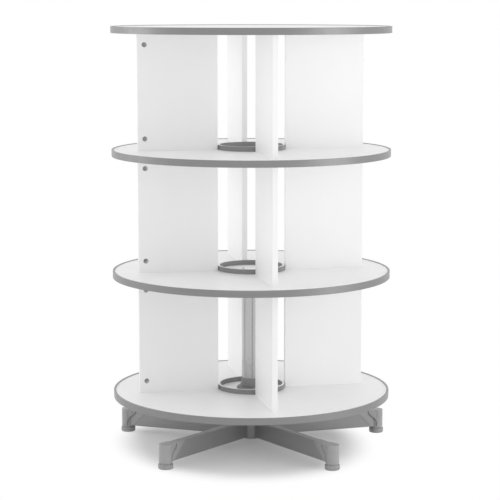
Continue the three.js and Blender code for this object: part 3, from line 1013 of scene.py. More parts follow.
for name, joint in zip(SHELVES, BAND_JOINTS):
    low, high = heights(f"{name}_edge_band")
    under, top = heights(f"{name}_shelf")
    wall_bore = shelf_radius - EDGE_WALL
    band = swept_ring(f"{name}_shelf_edging", [
        (lip_bore, low), (shelf_radius, low), (shelf_radius, high), (lip_bore, high),
        (lip_bore, top), (wall_bore, top), (wall_bore, under), (lip_bore, under),
    ], BAND_EASING, RIM_STEPS, joint, BAND_JOINT_GAP, SILVER_EDGING)
    finish_piece(band, "tower", "silver_edge", f"{name}_edge_band")

# %% [markdown]
# A stop ring keeps books and discs out of the open centre. It is grey on both faces and light
# on top: a white strip lies in a shallow channel there. A colour could be painted on, but the
# channel gives the strip its two crisp edges. It is part of the ring's section, and the strip
# is a ring of its own.

# %% Stop rings
RING_STEPS = 160
RING_EASING = 0.3 * MM
RING_JOINT = math.radians(90)
RING_JOINT_GAP = 0.1 * MM
CHANNEL_LIP = 0.5 * MM
CHANNEL_DEPTH = 0.8 * MM
STRIP_EASING = RING_EASING / 2
STRIP_SINK = 0.1 * MM  # below the ring's top

for name in SHELVES[:-1]:
    bore, radius = radii(f"{name}_stop_ring")
    low, high = heights(f"{name}_stop_ring")
    bed = high - CHANNEL_DEPTH
    inside, outside = bore + CHANNEL_LIP, radius - CHANNEL_LIP
    ring = swept_ring(f"{name}_ring_strip", [
        (bore, low), (radius, low), (radius, high), (outside, high),
        (outside, bed), (inside, bed), (inside, high), (bore, high),
    ], RING_EASING, RING_STEPS, RING_JOINT, RING_JOINT_GAP, RING_PLASTIC)
    finish_piece(ring, "tower", "ring_plastic", f"{name}_stop_ring")
    strip = swept_ring(
        f"{name}_ring_top", tube_profile(inside, outside, bed, high - STRIP_SINK), STRIP_EASING,
        RING_STEPS, RING_JOINT, RING_JOINT_GAP, WHITE_MELAMINE)
    finish_piece(strip, "tower", "white_melamine")

# %% [markdown]
# ## Dividers
# All twelve dividers are one board. It has a thin plastic strip glued to each upright edge,
# with rounded corners and a hairline joint, and two blind bores for the fittings that draw
# it to the shelves. The strip could be a piece of its own, but a notch in the outline shows
# the same line with three points. The board is made once and copied to each level and side.

# %% Outline of a divider
STRIP_THICKNESS = 1.0 * MM
STRIP_CORNER = 0.9 * MM
STRIP_CORNER_STEPS = 4
HAIRLINE = 0.12 * MM
divider_low, divider_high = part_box("bottom_divider_right")
half_board = divider_high.y


def arc(centre_x, centre_y, radius, start, steps):
    """A quarter of a circle, from the start angle on."""
    angles = [start + math.pi / 2 * k / steps for k in range(steps + 1)]
    return [(centre_x + radius * math.cos(a), centre_y + radius * math.sin(a)) for a in angles]


def strip_corner(corner_x, corner_y, start):
    inwards = math.copysign(STRIP_CORNER, corner_x - (divider_low.x + divider_high.x) / 2)
    centre_y = corner_y - math.copysign(STRIP_CORNER, corner_y)
    return arc(corner_x - inwards, centre_y, STRIP_CORNER, start, STRIP_CORNER_STEPS)


def hairline(x, y, direction):
    bottom_y = y - math.copysign(HAIRLINE, y)
    return [(x - direction * HAIRLINE, y), (x, bottom_y), (x + direction * HAIRLINE, y)]


def divider_outline():
    inner, outer = divider_low.x, divider_high.x
    joints = (inner + STRIP_THICKNESS, outer - STRIP_THICKNESS)
    return (
        hairline(joints[0], -half_board, 1) + hairline(joints[1], -half_board, 1)
        + strip_corner(outer, -half_board, -math.pi / 2)
        + strip_corner(outer, half_board, 0)
        + hairline(joints[1], half_board, -1) + hairline(joints[0], half_board, -1)
        + strip_corner(inner, half_board, math.pi / 2)
        + strip_corner(inner, -half_board, math.pi)
    )


print("divider outline", len(divider_outline()), "points")

# %% [markdown]
# The fittings lie in two blind bores near the board's outer edge. Circles in the outline
# can't make them, because they enter from the face. So the outline is drawn up to a solid
# first, and a turned cutter that is laid on its side takes out each bore.

# %% One divider board with its bores
BORE_DEPTH = 13.0 * MM
BORE_RADIUS = 7.5 * MM
BORE_EASING = 0.0001 * MM  # its rim is left sharp
BORE_FROM_SHELF = 34.0 * MM
BORE_FROM_END = 20.5 * MM
BORE_STEPS = 40
FACE_SIDEWAYS = Matrix.Rotation(-math.pi / 2, 4, "X")  # what pointed up points along +Y
bore_reach = divider_high.x - BORE_FROM_END
bore_heights = (divider_low.z + BORE_FROM_SHELF, divider_high.z - BORE_FROM_SHELF)

divider_mesh = drawn_mesh("model_divider", divider_outline(), divider_low.z, divider_high.z)
model_divider = add_piece("model_divider", divider_mesh, WHITE_MELAMINE)
for height in bore_heights:
    bore_profile = [(0, -BORE_DEPTH), (BORE_RADIUS, -BORE_DEPTH), (BORE_RADIUS, PROUD), (0, PROUD)]
    bore = turned_mesh("bore", bore_profile, BORE_EASING, BORE_STEPS)
    bore.transform(Matrix.Translation((bore_reach, half_board, height)) @ FACE_SIDEWAYS)
    carve(model_divider, bore)
print("divider", [round(s / MM, 1) for s in divider_high - divider_low], "mm")

# %% [markdown]
# A board is the same either way up, so a divider whose bores show on its other face is the
# same board turned over about its level middle line. An array could set out all twelve, but
# each one stands in for a node of its own, so a loop makes and names them one by one.

# %% Twelve dividers
TURNED_OVER = "rear"  # the dividers of this side have their bores in the other face
divider_middle = (divider_low.z + divider_high.z) / 2
about_middle = Matrix.Translation((0, 0, divider_middle))
other_face = about_middle @ Matrix.Rotation(math.pi, 4, "X") @ about_middle.inverted()

for level, level_name in enumerate(LEVELS):
    for side, side_name in enumerate(SIDES):
        mesh = model_divider.data.copy()
        if side_name == TURNED_OVER:
            mesh.transform(other_face)
        lift = Matrix.Translation((0, 0, level * level_pitch))
        mesh.transform(lift @ Matrix.Rotation(side * math.pi / 2, 4, "Z"))
        divider = add_piece(f"{level_name}_panel_{side_name}", mesh)
        finish_piece(divider, "tower", "white_melamine", f"{level_name}_divider_{side_name}")
bpy.data.objects.remove(model_divider)

# %% [markdown]
# ## Cam fittings
# The grey dots on the dividers are cam fittings: small cast cylinders that lie in the bores
# and are turned with a screwdriver. A flat disc would shine like the board. The real ones are
# hollow, and a cone is dark inside, because light bounces there twice before it leaves.

# %% One cam fitting
CAM_RADIUS = 7.35 * MM
CAM_DEPTH = 12.4 * MM
CAM_RECESS = 0.2 * MM  # below the divider's face
CAM_HOLLOW = 4.6 * MM
CAM_RIM = 0.9 * MM
CAM_TIP_RADIUS = 1.2 * MM
CAM_EASING = 0.25 * MM
CAM_SLOT_LENGTH = 7.4 * MM
CAM_SLOT_WIDTH = 1.7 * MM
CAM_SLOT_DEPTH = 3.0 * MM
CAM_SLOT_TURN = math.radians(18)

cam_profile = [
    (0, -CAM_DEPTH),
    (CAM_RADIUS, -CAM_DEPTH),
    (CAM_RADIUS, -CAM_RECESS),
    (CAM_RADIUS - CAM_RIM, -CAM_RECESS),
    (CAM_TIP_RADIUS, -CAM_RECESS - CAM_HOLLOW),
    (0, -CAM_RECESS - CAM_HOLLOW),
]
cam_fitting = add_piece("cam_fitting", turned_mesh("cam", cam_profile, CAM_EASING, BORE_STEPS))


def rectangle(half_length, half_width):
    return [(-half_length, -half_width), (half_length, -half_width),
            (half_length, half_width), (-half_length, half_width)]


slot_floor = -CAM_RECESS - CAM_HOLLOW - CAM_SLOT_DEPTH
for turn in (0.0, math.pi / 2):
    slot = drawn_mesh("slot", rectangle(CAM_SLOT_LENGTH / 2, CAM_SLOT_WIDTH / 2), slot_floor, PROUD)
    slot.transform(Matrix.Rotation(turn + CAM_SLOT_TURN, 4, "Z"))
    carve(cam_fitting, slot)
cam_fitting.data.transform(FACE_SIDEWAYS)
print("cam fitting", len(cam_fitting.data.polygons), "faces")

# %% [markdown]
# Twenty-four fittings follow one rule, so Geometry Nodes set them: two on a divider, that pair
# turned to the four sides and, at the rear, over to the other face, and the four on three
# levels. Copies made in a loop would do too, but a change of the rule would need new code.

# %% Cam fittings on every divider
def cam_fittings_tree():
    tree, given = new_rule(
        "cam_fittings", Fitting=OBJECT, Reach=FLOAT, Face=FLOAT, Middle=FLOAT, Spacing=FLOAT,
        Sides=COUNT, Turned_over=COUNT, Levels=COUNT, Level_pitch=FLOAT)
    lower = place(tree, "ShaderNodeCombineXYZ", {
        "X": given["Reach"], "Y": given["Face"], "Z": maths(tree, "MULTIPLY", given["Spacing"], -0.5),
    })
    pair = set_out(tree, 2, lower, upright(tree, given["Spacing"]))
    side = place(tree, "GeometryNodeInputIndex")
    over = place(tree, "FunctionNodeCompare", {"A_INT": side, "B_INT": given["Turned over"]},
                 data_type="INT", operation="EQUAL")
    step = maths(tree, "DIVIDE", 2 * math.pi, given["Sides"])
    angles = place(tree, "ShaderNodeCombineXYZ", {
        "X": maths(tree, "MULTIPLY", over, math.pi), "Z": maths(tree, "MULTIPLY", side, step),
    })
    up = set_out(tree, given["Levels"], upright(tree, given["Middle"]),
                 upright(tree, given["Level pitch"]))
    one_side = repeated(tree, pair, shape_of(tree, given["Fitting"]))
    one_level = repeated(tree, set_out(tree, given["Sides"]), one_side, angles=angles)
    return close_rule(tree, given, repeated(tree, up, one_level))


cam_fittings = grow(
    "cam_fittings", cam_fittings_tree(), Fitting=cam_fitting, Reach=bore_reach, Face=half_board,
    Middle=divider_middle, Spacing=bore_heights[1] - bore_heights[0], Sides=len(SIDES),
    Turned_over=SIDES.index(TURNED_OVER), Levels=len(LEVELS), Level_pitch=level_pitch,
    Material=ZINC_STEEL,
)
bpy.data.objects.remove(cam_fitting)
finish_piece(cam_fittings, "tower", "zinc_steel")

# %% [markdown]
# ## Post, pivot and guide
# The tower hangs on the post's top: a plug with a pin, a plastic ring that it turns on, and
# a steel plate under the second shelf. Lower down, a sleeve in a stepped flange keeps the
# bottom shelf centred on the post. All but the plate could come off a lathe, so each is a
# profile that is turned, and the plain tubes take theirs straight from the frame.

# %% Turned pieces on the axis
POST_STEPS = 128
SMALL_EASING = 0.4 * MM


def turned_piece(name, profile, easing, material, body, slot, node, closed=False):
    mesh = turned_mesh(name, profile, easing, POST_STEPS, closed)
    finish_piece(add_piece(name, mesh, material), body, slot, node)


def tube_piece(name, easing, material, body, slot, node):
    profile = tube_profile(*radii(node), *heights(node))
    turned_piece(name, profile, easing, material, body, slot, node, closed=True)


tube_piece("post_tube", SMALL_EASING, POLISHED_POST, "base", "polished_post", "centre_post")
tube_piece("post_foot", SMALL_EASING, ZINC_STEEL, "base", "zinc_steel", "post_foot_plug")
tube_piece("turning_ring", SMALL_EASING, DARK_PLASTIC, "base", "dark_plastic", "thrust_ring")
tube_piece("guide_sleeve", SMALL_EASING, FLANGE_PLASTIC, "tower", "flange_plastic", "guide_bush")

# %% [markdown]
# The head plug closes the post, rests on its rim and carries the pin that the tower turns
# about. Its heights and widths could be typed in. They are read from the pieces that it
# meets instead, so it still fits when the post changes.

# %% Head plug with its pin
PIN_RADIUS = 8.0 * MM
PLUG_GAP = 0.3 * MM
post_bore, post_radius = radii("centre_post")
post_top = heights("centre_post")[1]
head_low, pin_top = heights("post_head_plug")
head_top = heights("thrust_ring")[0]

turned_piece("post_head", [
    (0, head_low),
    (post_bore - PLUG_GAP, head_low),
    (post_bore - PLUG_GAP, post_top),
    (post_radius, post_top),
    (post_radius, head_top),
    (PIN_RADIUS, head_top),
    (PIN_RADIUS, pin_top),
    (0, pin_top),
], SMALL_EASING, ZINC_STEEL, "base", "zinc_steel", "post_head_plug")

# %% [markdown]
# The guide flange is the stepped collar where the post goes through the bottom shelf. It is
# one moulding, a flat plate with a boss, so it is turned in one go rather than joined from
# two. A larger easing than on the plated pieces gives it the soft corners of plastic.

# %% Guide flange
FLANGE_PLATE = 5.0 * MM
FLANGE_BOSS_WALL = 2.2 * MM
FLANGE_EASING = 0.8 * MM
flange_bore, flange_radius = radii("guide_flange")
flange_low, flange_high = heights("guide_flange")
flange_step = flange_low + FLANGE_PLATE

turned_piece("guide_flange_moulding", [
    (flange_bore, flange_low),
    (flange_radius, flange_low),
    (flange_radius, flange_step),
    (flange_bore + FLANGE_BOSS_WALL, flange_step),
    (flange_bore + FLANGE_BOSS_WALL, flange_high),
    (flange_bore, flange_high),
], FLANGE_EASING, FLANGE_PLASTIC, "tower", "flange_plastic", "guide_flange", closed=True)

# %% [markdown]
# The pivot plate is a steel disc with a hole for the pin and four for its screws. A lathe
# can't make the four, but the tree of the shelves can, and a bevel then eases the edges.

# %% Pivot plate
plate_bore, plate_radius = radii("pivot_plate")
plate_low, plate_high = heights("pivot_plate")
pivot_disc = grow(
    "pivot_disc", ROUND_BOARD, Radius=plate_radius, Bore=plate_bore, Bottom=plate_low,
    Top=plate_high, Holes=SCREW_COUNT, Hole_circle=screw_circle, Hole_turn=screw_turn,
    Hole_radius=SCREW_HOLE, Material=ZINC_STEEL,
)
ease_edges(pivot_disc.data, SMALL_EASING)
finish_piece(pivot_disc, "tower", "zinc_steel", "pivot_plate")

# %% [markdown]
# ## Screws
# Two sets of four pan-head screws hold the plate and the flange. One screw is turned and its
# socket is cut. Sockets that all point the same way would look drawn, so a tree sets the
# screws on a circle, each turned by chance, from a fixed seed.

# %% One pan-head screw
SCREW_RADIUS = 2.2 * MM
SCREW_HEAD_RADIUS = 3.8 * MM
SCREW_HEAD_HEIGHT = 2.6 * MM
SCREW_RIM_SHARE = 0.4
SCREW_CROWN_SHARE = 0.65
SCREW_EASING = 0.3 * MM
SOCKET_RADIUS = 1.8 * MM
SOCKET_DEPTH = 1.6 * MM
SCREW_STEPS = 32


def screw_object(length):
    shank = turned_mesh("screw", [
        (0, -length),
        (SCREW_RADIUS, -length),
        (SCREW_RADIUS, 0),
        (SCREW_HEAD_RADIUS, 0),
        (SCREW_HEAD_RADIUS, SCREW_HEAD_HEIGHT * SCREW_RIM_SHARE),
        (SCREW_HEAD_RADIUS * SCREW_CROWN_SHARE, SCREW_HEAD_HEIGHT),
        (0, SCREW_HEAD_HEIGHT),
    ], SCREW_EASING, SCREW_STEPS)
    screw = add_piece("screw", shank)
    socket_floor = SCREW_HEAD_HEIGHT - SOCKET_DEPTH
    carve(screw, drawn_mesh("socket", hexagon(SOCKET_RADIUS), socket_floor, 2 * SCREW_HEAD_HEIGHT))
    return screw


# %% [markdown]
# The tree takes one screw and gives each copy a turn of its own, up to a sixth of a full
# turn, past which a hexagon looks the same again. Angles typed by hand would do for four
# screws, but a tree also serves the next flange with twelve.

# %% Screws on a circle
def screw_circle_tree():
    tree, given = new_rule(
        "screw_circle", Screw=OBJECT, Count=COUNT, Circle=FLOAT, Turn=FLOAT, Seat=FLOAT, Seed=COUNT)
    chance = place(tree, "FunctionNodeRandomValue", {
        "Min_001": 0.0, "Max_001": math.pi / 3, "Seed": given["Seed"],
    }, out=1)
    centres = points_on_circle(tree, given["Count"], given["Circle"])
    screws = repeated(tree, centres, shape_of(tree, given["Screw"]), angles=upright(tree, chance))
    return close_rule(tree, given, moved(
        tree, screws, Translation=upright(tree, given["Seat"]), Rotation=upright(tree, given["Turn"])))


SCREW_CIRCLE = screw_circle_tree()

# %% [markdown]
# A screw's length and its circle come from the frame's own screws, so the shank ends where
# the model's does. The sets differ only in seat, turn and seed, so one function makes both.

# %% Both sets of screws
def screw_set(name, node, seat, turn, seed):
    circle = math.hypot(*middle(f"{node}_1").xy)
    screw = screw_object(seat - heights(f"{node}_1")[0])
    screws = grow(name, SCREW_CIRCLE, Screw=screw, Count=SCREW_COUNT, Circle=circle, Turn=turn,
                  Seat=seat, Seed=seed, Material=ZINC_STEEL)
    bpy.data.objects.remove(screw)
    finish_piece(screws, "tower", "zinc_steel", *[f"{node}_{i + 1}" for i in range(SCREW_COUNT)])


screw_set("pivot_screws", "pivot_screw", seat=shelf_tops[1], turn=screw_turn, seed=3)
screw_set("guide_screws", "guide_screw", seat=flange_step, turn=0.0, seed=8)

# %% [markdown]
# ## Star base
# The hub is a short thick tube with a plate under it and one bolt up the middle. The bolt's
# head is a hexagon whose corners are turned off, which is what crossing it with a cone does.

# %% Hub, plate and bolt
HUB_EASING = 1.0 * MM
PLATE_EASING = 0.6 * MM
BOLT_RADIUS = 6.0 * MM
BOLT_HEAD_RADIUS = 10.0 * MM
BOLT_CHAMFER = 1.2 * MM
SHANK_START = 1.0 * MM  # inside the head
bolt_low, bolt_high = heights("base_bolt")
bolt_seat = heights("base_plate")[0]

tube_piece("hub_tube", HUB_EASING, POWDER_COAT, "base", "base_paint", "base_hub")
tube_piece("hub_plate", PLATE_EASING, POWDER_COAT, "base", "base_paint", "base_plate")

bolt_head = drawn_mesh("hub_bolt", hexagon(BOLT_HEAD_RADIUS), bolt_low, bolt_seat)
hub_bolt = add_piece("hub_bolt", bolt_head, ZINC_STEEL)
carve(hub_bolt, turned_mesh("chamfer", [
    (0, bolt_low),
    (BOLT_HEAD_RADIUS - BOLT_CHAMFER, bolt_low),
    (BOLT_HEAD_RADIUS + BOLT_CHAMFER, bolt_low + BOLT_CHAMFER),
    (BOLT_HEAD_RADIUS + BOLT_CHAMFER, bolt_seat + PROUD),
    (0, bolt_seat + PROUD),
], SHARP, POST_STEPS), "INTERSECT")
carve(hub_bolt, turned_mesh("shank", [
    (0, bolt_low + SHANK_START), (BOLT_RADIUS, bolt_low + SHANK_START),
    (BOLT_RADIUS, bolt_high), (0, bolt_high),
], SMALL_EASING, POST_STEPS), "UNION")
finish_piece(hub_bolt, "base", "zinc_steel", "base_bolt")

# %% [markdown]
# The legs are rectangular tubes that are cut round to fit the hub, mitred at the foot and
# welded on. Booleans could cut both ends. It is neater to carry the section along X, so that
# each of its points starts on the hub's circle and stops on the slanted mitre.

# %% Section of a leg
LEG_WALL = 2.0 * MM
LEG_CORNER = 3.0 * MM
LEG_INNER_CORNER = 1.0 * MM
LEG_CORNER_STEPS = 5
LEG_FLAT_STEPS = 6
WELD_GAP = 0.3 * MM
MITRE_RUN = 50.0 * MM
hub_radius = radii("base_hub")[1]
half_leg = leg_high.y
mitre_slope = MITRE_RUN / (leg_high.z - leg_low.z)
print("leg", round(2 * half_leg / MM, 1), "mm wide, mitre slope", round(mitre_slope, 3))


def tube_section(half_width, low, high, corner):
    """Rounded rectangle as (y, z) points, with extra points along its top and bottom."""
    middles = [(half_width - corner, low + corner), (half_width - corner, high - corner),
               (corner - half_width, high - corner), (corner - half_width, low + corner)]
    points = []
    for k, (y, z) in enumerate(middles):
        points += arc(y, z, corner, (k - 1) * math.pi / 2, LEG_CORNER_STEPS)
        if k % 2:
            flat = 2 * (half_width - corner) * (1 if k == 3 else -1)
            from_y, from_z = points[-1]
            points += [(from_y + flat * s / LEG_FLAT_STEPS, from_z) for s in range(1, LEG_FLAT_STEPS)]
    return points


# %% [markdown]
# A leg is one closed skin: the outside from the hub to the mitre, across the wall, back
# along the inside and across the wall again. Four rings of points hold it all. One leg is
# made, and a copy is turned to each of the five places, as the feet will be too.

# %% Five legs
def leg_mesh():
    outside = tube_section(half_leg, leg_low.z, leg_high.z, LEG_CORNER)
    inside = tube_section(half_leg - LEG_WALL, leg_low.z + LEG_WALL, leg_high.z - LEG_WALL,
                          LEG_INNER_CORNER)

    def at_hub(y, z):
        return math.sqrt((hub_radius + WELD_GAP) ** 2 - y**2), y, z

    def at_foot(y, z):
        return leg_high.x - (z - leg_low.z) * mitre_slope, y, z

    shell = bmesh.new()
    rings = [[shell.verts.new(end(y, z)) for y, z in section] for section, end in
             ((outside, at_hub), (outside, at_foot), (inside, at_foot), (inside, at_hub))]
    for k, ring in enumerate(rings):
        following = rings[(k + 1) % len(rings)]
        for j in range(len(ring)):
            after = (j + 1) % len(ring)
            shell.faces.new((ring[j], ring[after], following[after], following[j]))
    bmesh.ops.recalc_face_normals(shell, faces=shell.faces)
    return mesh_from(shell, "leg")


def on_every_leg(name, model, material, slot, node):
    for i, angle in zip(LEGS, leg_angles):
        mesh = model.copy()
        mesh.transform(Matrix.Rotation(angle, 4, "Z"))
        finish_piece(add_piece(f"{name}_{i}", mesh, material), "base", slot, f"{node}_{i}")


on_every_leg("arm", leg_mesh(), POWDER_COAT, "base_paint", "leg")

# %% [markdown]
# A weld bead runs round each leg where it meets the hub. Modelling its ripples by hand would
# take hours, and they follow a rule: the path is the leg's section bent onto the hub's curve,
# and the ripples are a wave in the bead's thickness along it.

# %% Path of a weld bead
BEAD_RADIUS = 1.9 * MM
BEAD_STEPS = 220
BEAD_SIDES = 10
BEAD_RIPPLES = 62.0
BEAD_RIPPLE_SHARE = 0.13


def bead_path(tree, given):
    """The leg's section, each point pushed out to the hub's circle."""
    section = place(tree, "GeometryNodeCurvePrimitiveQuadrilateral", {
        "Width": given["Leg width"], "Height": given["Leg height"],
    }, mode="RECTANGLE")
    section = place(tree, "GeometryNodeFilletCurve", {
        "Curve": section, "Count": LEG_CORNER_STEPS, "Radius": given["Corner"],
    }, mode="POLY")
    section = place(tree, "GeometryNodeResampleCurve", {"Curve": section, "Count": BEAD_STEPS})
    flat = place(tree, "GeometryNodeInputPosition")
    across, up = [place(tree, "ShaderNodeSeparateXYZ", {"Vector": flat}, out=axis) for axis in "XY"]
    hub_squared = maths(tree, "POWER", given["Hub radius"], 2.0)
    outward_squared = maths(tree, "SUBTRACT", hub_squared, maths(tree, "MULTIPLY", across, across))
    wrapped = place(tree, "ShaderNodeCombineXYZ", {
        "X": maths(tree, "SQRT", outward_squared), "Y": across,
        "Z": maths(tree, "ADD", up, given["Middle"]),
    })
    return place(tree, "GeometryNodeSetPosition", {"Geometry": section, "Position": wrapped})


# %% [markdown]
# The bead is a small circle swept along that path, and its thickness follows a sine wave.
# Noise would look like rust or dirt, but a welder's ripples are even. One bead is made and
# repeated at the legs' even angles.

# %% Weld beads
def weld_bead_tree():
    tree, given = new_rule(
        "weld_beads", Hub_radius=FLOAT, Leg_width=FLOAT, Leg_height=FLOAT, Corner=FLOAT,
        Middle=FLOAT, Bead_radius=FLOAT, Ripples=FLOAT, Ripple_share=FLOAT, Legs=COUNT,
        First_angle=FLOAT)
    along = place(tree, "GeometryNodeSplineParameter", out="Factor")
    phase = maths(tree, "MULTIPLY", along, maths(tree, "MULTIPLY", given["Ripples"], 2 * math.pi))
    wave = maths(tree, "MULTIPLY", maths(tree, "SINE", phase), given["Ripple share"])
    path = place(tree, "GeometryNodeSetCurveRadius", {
        "Curve": bead_path(tree, given), "Radius": maths(tree, "ADD", wave, 1.0),
    })
    bead = place(tree, "GeometryNodeCurveToMesh", {
        "Curve": path, "Profile Curve": circle_curve(tree, given["Bead radius"], BEAD_SIDES),
        "Scale": place(tree, "GeometryNodeInputRadius"),
    })
    step = maths(tree, "DIVIDE", 2 * math.pi, given["Legs"])
    angle = maths(tree, "MULTIPLY", place(tree, "GeometryNodeInputIndex"), step)
    turn = upright(tree, maths(tree, "ADD", angle, given["First angle"]))
    return close_rule(tree, given, repeated(tree, set_out(tree, given["Legs"]), bead, angles=turn))


weld_beads = grow(
    "weld_beads", weld_bead_tree(), Hub_radius=hub_radius, Leg_width=2 * half_leg,
    Leg_height=leg_high.z - leg_low.z, Corner=LEG_CORNER, Middle=(leg_low.z + leg_high.z) / 2,
    Bead_radius=BEAD_RADIUS, Ripples=BEAD_RIPPLES, Ripple_share=BEAD_RIPPLE_SHARE,
    Legs=len(LEGS), First_angle=leg_angles[0], Material=POWDER_COAT,
)
finish_piece(weld_beads, "base", "base_paint")

# %% [markdown]
# ## Feet
# The moulded foot is a cylinder over the glide with a shoulder that flares back over the
# leg. The shoulder's lower edge is an S-curve with a groove under it, and a wedge fills the
# leg's mitre. It could be sculpted as one skin. Joining simple solids, as a mould maker would
# add them up, keeps every edge where the frame's sizes put it. Seen from above, the shoulder
# is a round end with two straight sides that touch it.

# %% Plan of the shoulder
HOUSING_RADIUS = 19.0 * MM
HOUSING_STEPS = 96
HOUSING_EASING = 1.0 * MM
HOUSING_SKIN = housing_high.z - leg_high.z
SHOULDER_REACH = 29.0 * MM
SHOULDER_STEP = 0.6 * MM


def shoulder_plan():
    half = half_leg + HOUSING_SKIN + SHOULDER_STEP
    radius = HOUSING_RADIUS - SHOULDER_STEP
    nose_angle = math.atan2(half, -SHOULDER_REACH)
    tangent = nose_angle - math.acos(radius / math.hypot(SHOULDER_REACH, half))
    angles = [tangent * (2 * k / HOUSING_STEPS - 1) for k in range(HOUSING_STEPS + 1)]
    round_end = [(foot_reach + radius * math.cos(a), radius * math.sin(a)) for a in angles]
    return [(foot_reach - SHOULDER_REACH, -half)] + round_end + [(foot_reach - SHOULDER_REACH, half)]


print("shoulder from", round((foot_reach - SHOULDER_REACH) / MM, 1), "mm")

# %% [markdown]
# From the side, the shoulder is bounded by the S-curve. A chain of arcs could make it, but a
# cubic with its two handles at one height needs only its ends and that height. The groove
# runs along the same curve, moved down and in.

# %% S-curve of the shoulder
SHOULDER_NOSE_HEIGHT = 2.0 * MM
SHOULDER_HEIGHT = 40.0 * MM
SHOULDER_ROOT_INSET = 4.0 * MM
SHOULDER_BEND_SHARE = 0.5
CURVE_STEPS = 20
BEYOND = 5.0 * MM  # how far a cutting shape runs past what it cuts
FOOT_GAP = 0.3 * MM


def s_curve(drop):
    """The shoulder's lower edge from its nose to its root, moved down and in by drop."""
    nose_x = foot_reach - SHOULDER_REACH
    root_x = foot_reach - SHOULDER_ROOT_INSET
    top = housing_high.z
    handle = top - SHOULDER_HEIGHT * SHOULDER_BEND_SHARE
    points = []
    for k in range(CURVE_STEPS + 1):
        t = k / CURVE_STEPS
        weights = ((1 - t) ** 3, 3 * t * (1 - t) ** 2, 3 * t**2 * (1 - t), t**3)
        x = sum(w * p for w, p in zip(weights, (nose_x, nose_x, root_x, root_x)))
        z = sum(w * p for w, p in zip(
            weights, (top - SHOULDER_NOSE_HEIGHT, handle, handle, top - SHOULDER_HEIGHT)))
        points.append((x - drop, z - drop))
    return points


def shoulder_side():
    outer_x = foot_reach + HOUSING_RADIUS + BEYOND
    curve = s_curve(0.0)
    return curve + [(outer_x, curve[-1][1]), (outer_x, housing_high.z + BEYOND),
                    (curve[0][0] - BEYOND, housing_high.z + BEYOND), (curve[0][0] - BEYOND, curve[0][1])]


def beyond_mitre():
    """Everything past the leg's slanted end, with the gap that the two keep."""
    lean = BEYOND * mitre_slope
    outer_x = foot_reach + FOOT_GAP
    top_x = leg_high.x - MITRE_RUN
    return [(leg_high.x + FOOT_GAP + lean, leg_low.z - BEYOND),
            (outer_x + lean, leg_low.z - BEYOND),
            (outer_x + lean, leg_high.z + BEYOND),
            (top_x + FOOT_GAP - lean, leg_high.z + BEYOND)]


print("curve drops", round((s_curve(0.0)[0][1] - s_curve(0.0)[-1][1]) / MM, 1), "mm")

# %% [markdown]
# A side view is drawn out across the leg, and a section is drawn out along it. The groove is
# a band along the S-curve. Cut straight through, it would split the foot, so it is first
# hollowed out and then cuts no deeper than the groove.

# %% Solids of the foot
STAND_UP = Matrix.Rotation(math.pi / 2, 4, "X")  # what ran along +Y runs along +Z
RUN_OUT = Matrix(((0, 0, 1, 0), (1, 0, 0, 0), (0, 1, 0, 0), (0, 0, 0, 1)))
GROOVE_WIDTH = 3.5 * MM
GROOVE_DEPTH = 3.0 * MM
GROOVE_TAIL = 8.0 * MM  # how far the groove runs on below the shoulder
ACROSS = HOUSING_RADIUS + BEYOND


def sideways_mesh(outline, half_width):
    mesh = drawn_mesh("side", outline, -half_width, half_width)
    mesh.transform(STAND_UP)
    return mesh


def run_mesh(section, low, high):
    mesh = drawn_mesh("run", section, low, high)
    mesh.transform(RUN_OUT)
    return mesh


def foot_turned(profile, easing, steps):
    """A turned shape on the foot's axis."""
    mesh = turned_mesh("turned", profile, easing, steps)
    mesh.transform(Matrix.Translation((foot_reach, 0, 0)))
    return mesh


def groove_piece(skinned):
    near, far = s_curve(0.0), s_curve(GROOVE_WIDTH)
    tail = [(x, near[-1][1] - GROOVE_TAIL) for x in (near[-1][0], far[-1][0])]
    groove = add_piece("groove", sideways_mesh(near + tail + far[::-1], ACROSS))
    top = housing_high.z + BEYOND
    core = tube_section(skinned - GROOVE_DEPTH, -BEYOND, top, LEG_INNER_CORNER)
    carve(groove, run_mesh(core, foot_reach - SHOULDER_REACH - 2 * BEYOND, foot_reach))
    core = tube_profile(0, HOUSING_RADIUS - GROOVE_DEPTH, -BEYOND, top)
    carve(groove, foot_turned(core, SHARP, HOUSING_STEPS))
    return groove


# %% [markdown]
# The order of the joins matters. The shoulder, the wedge and the tenon that sticks into the
# leg are added to the cylinder first. The stem's bore and the groove are cut last, because
# a piece that is added later would fill them again.

# %% One foot housing
TENON_LENGTH = 25.0 * MM
STEM_RADIUS = 5.0 * MM
STEM_BORE_DEPTH = 35.0 * MM


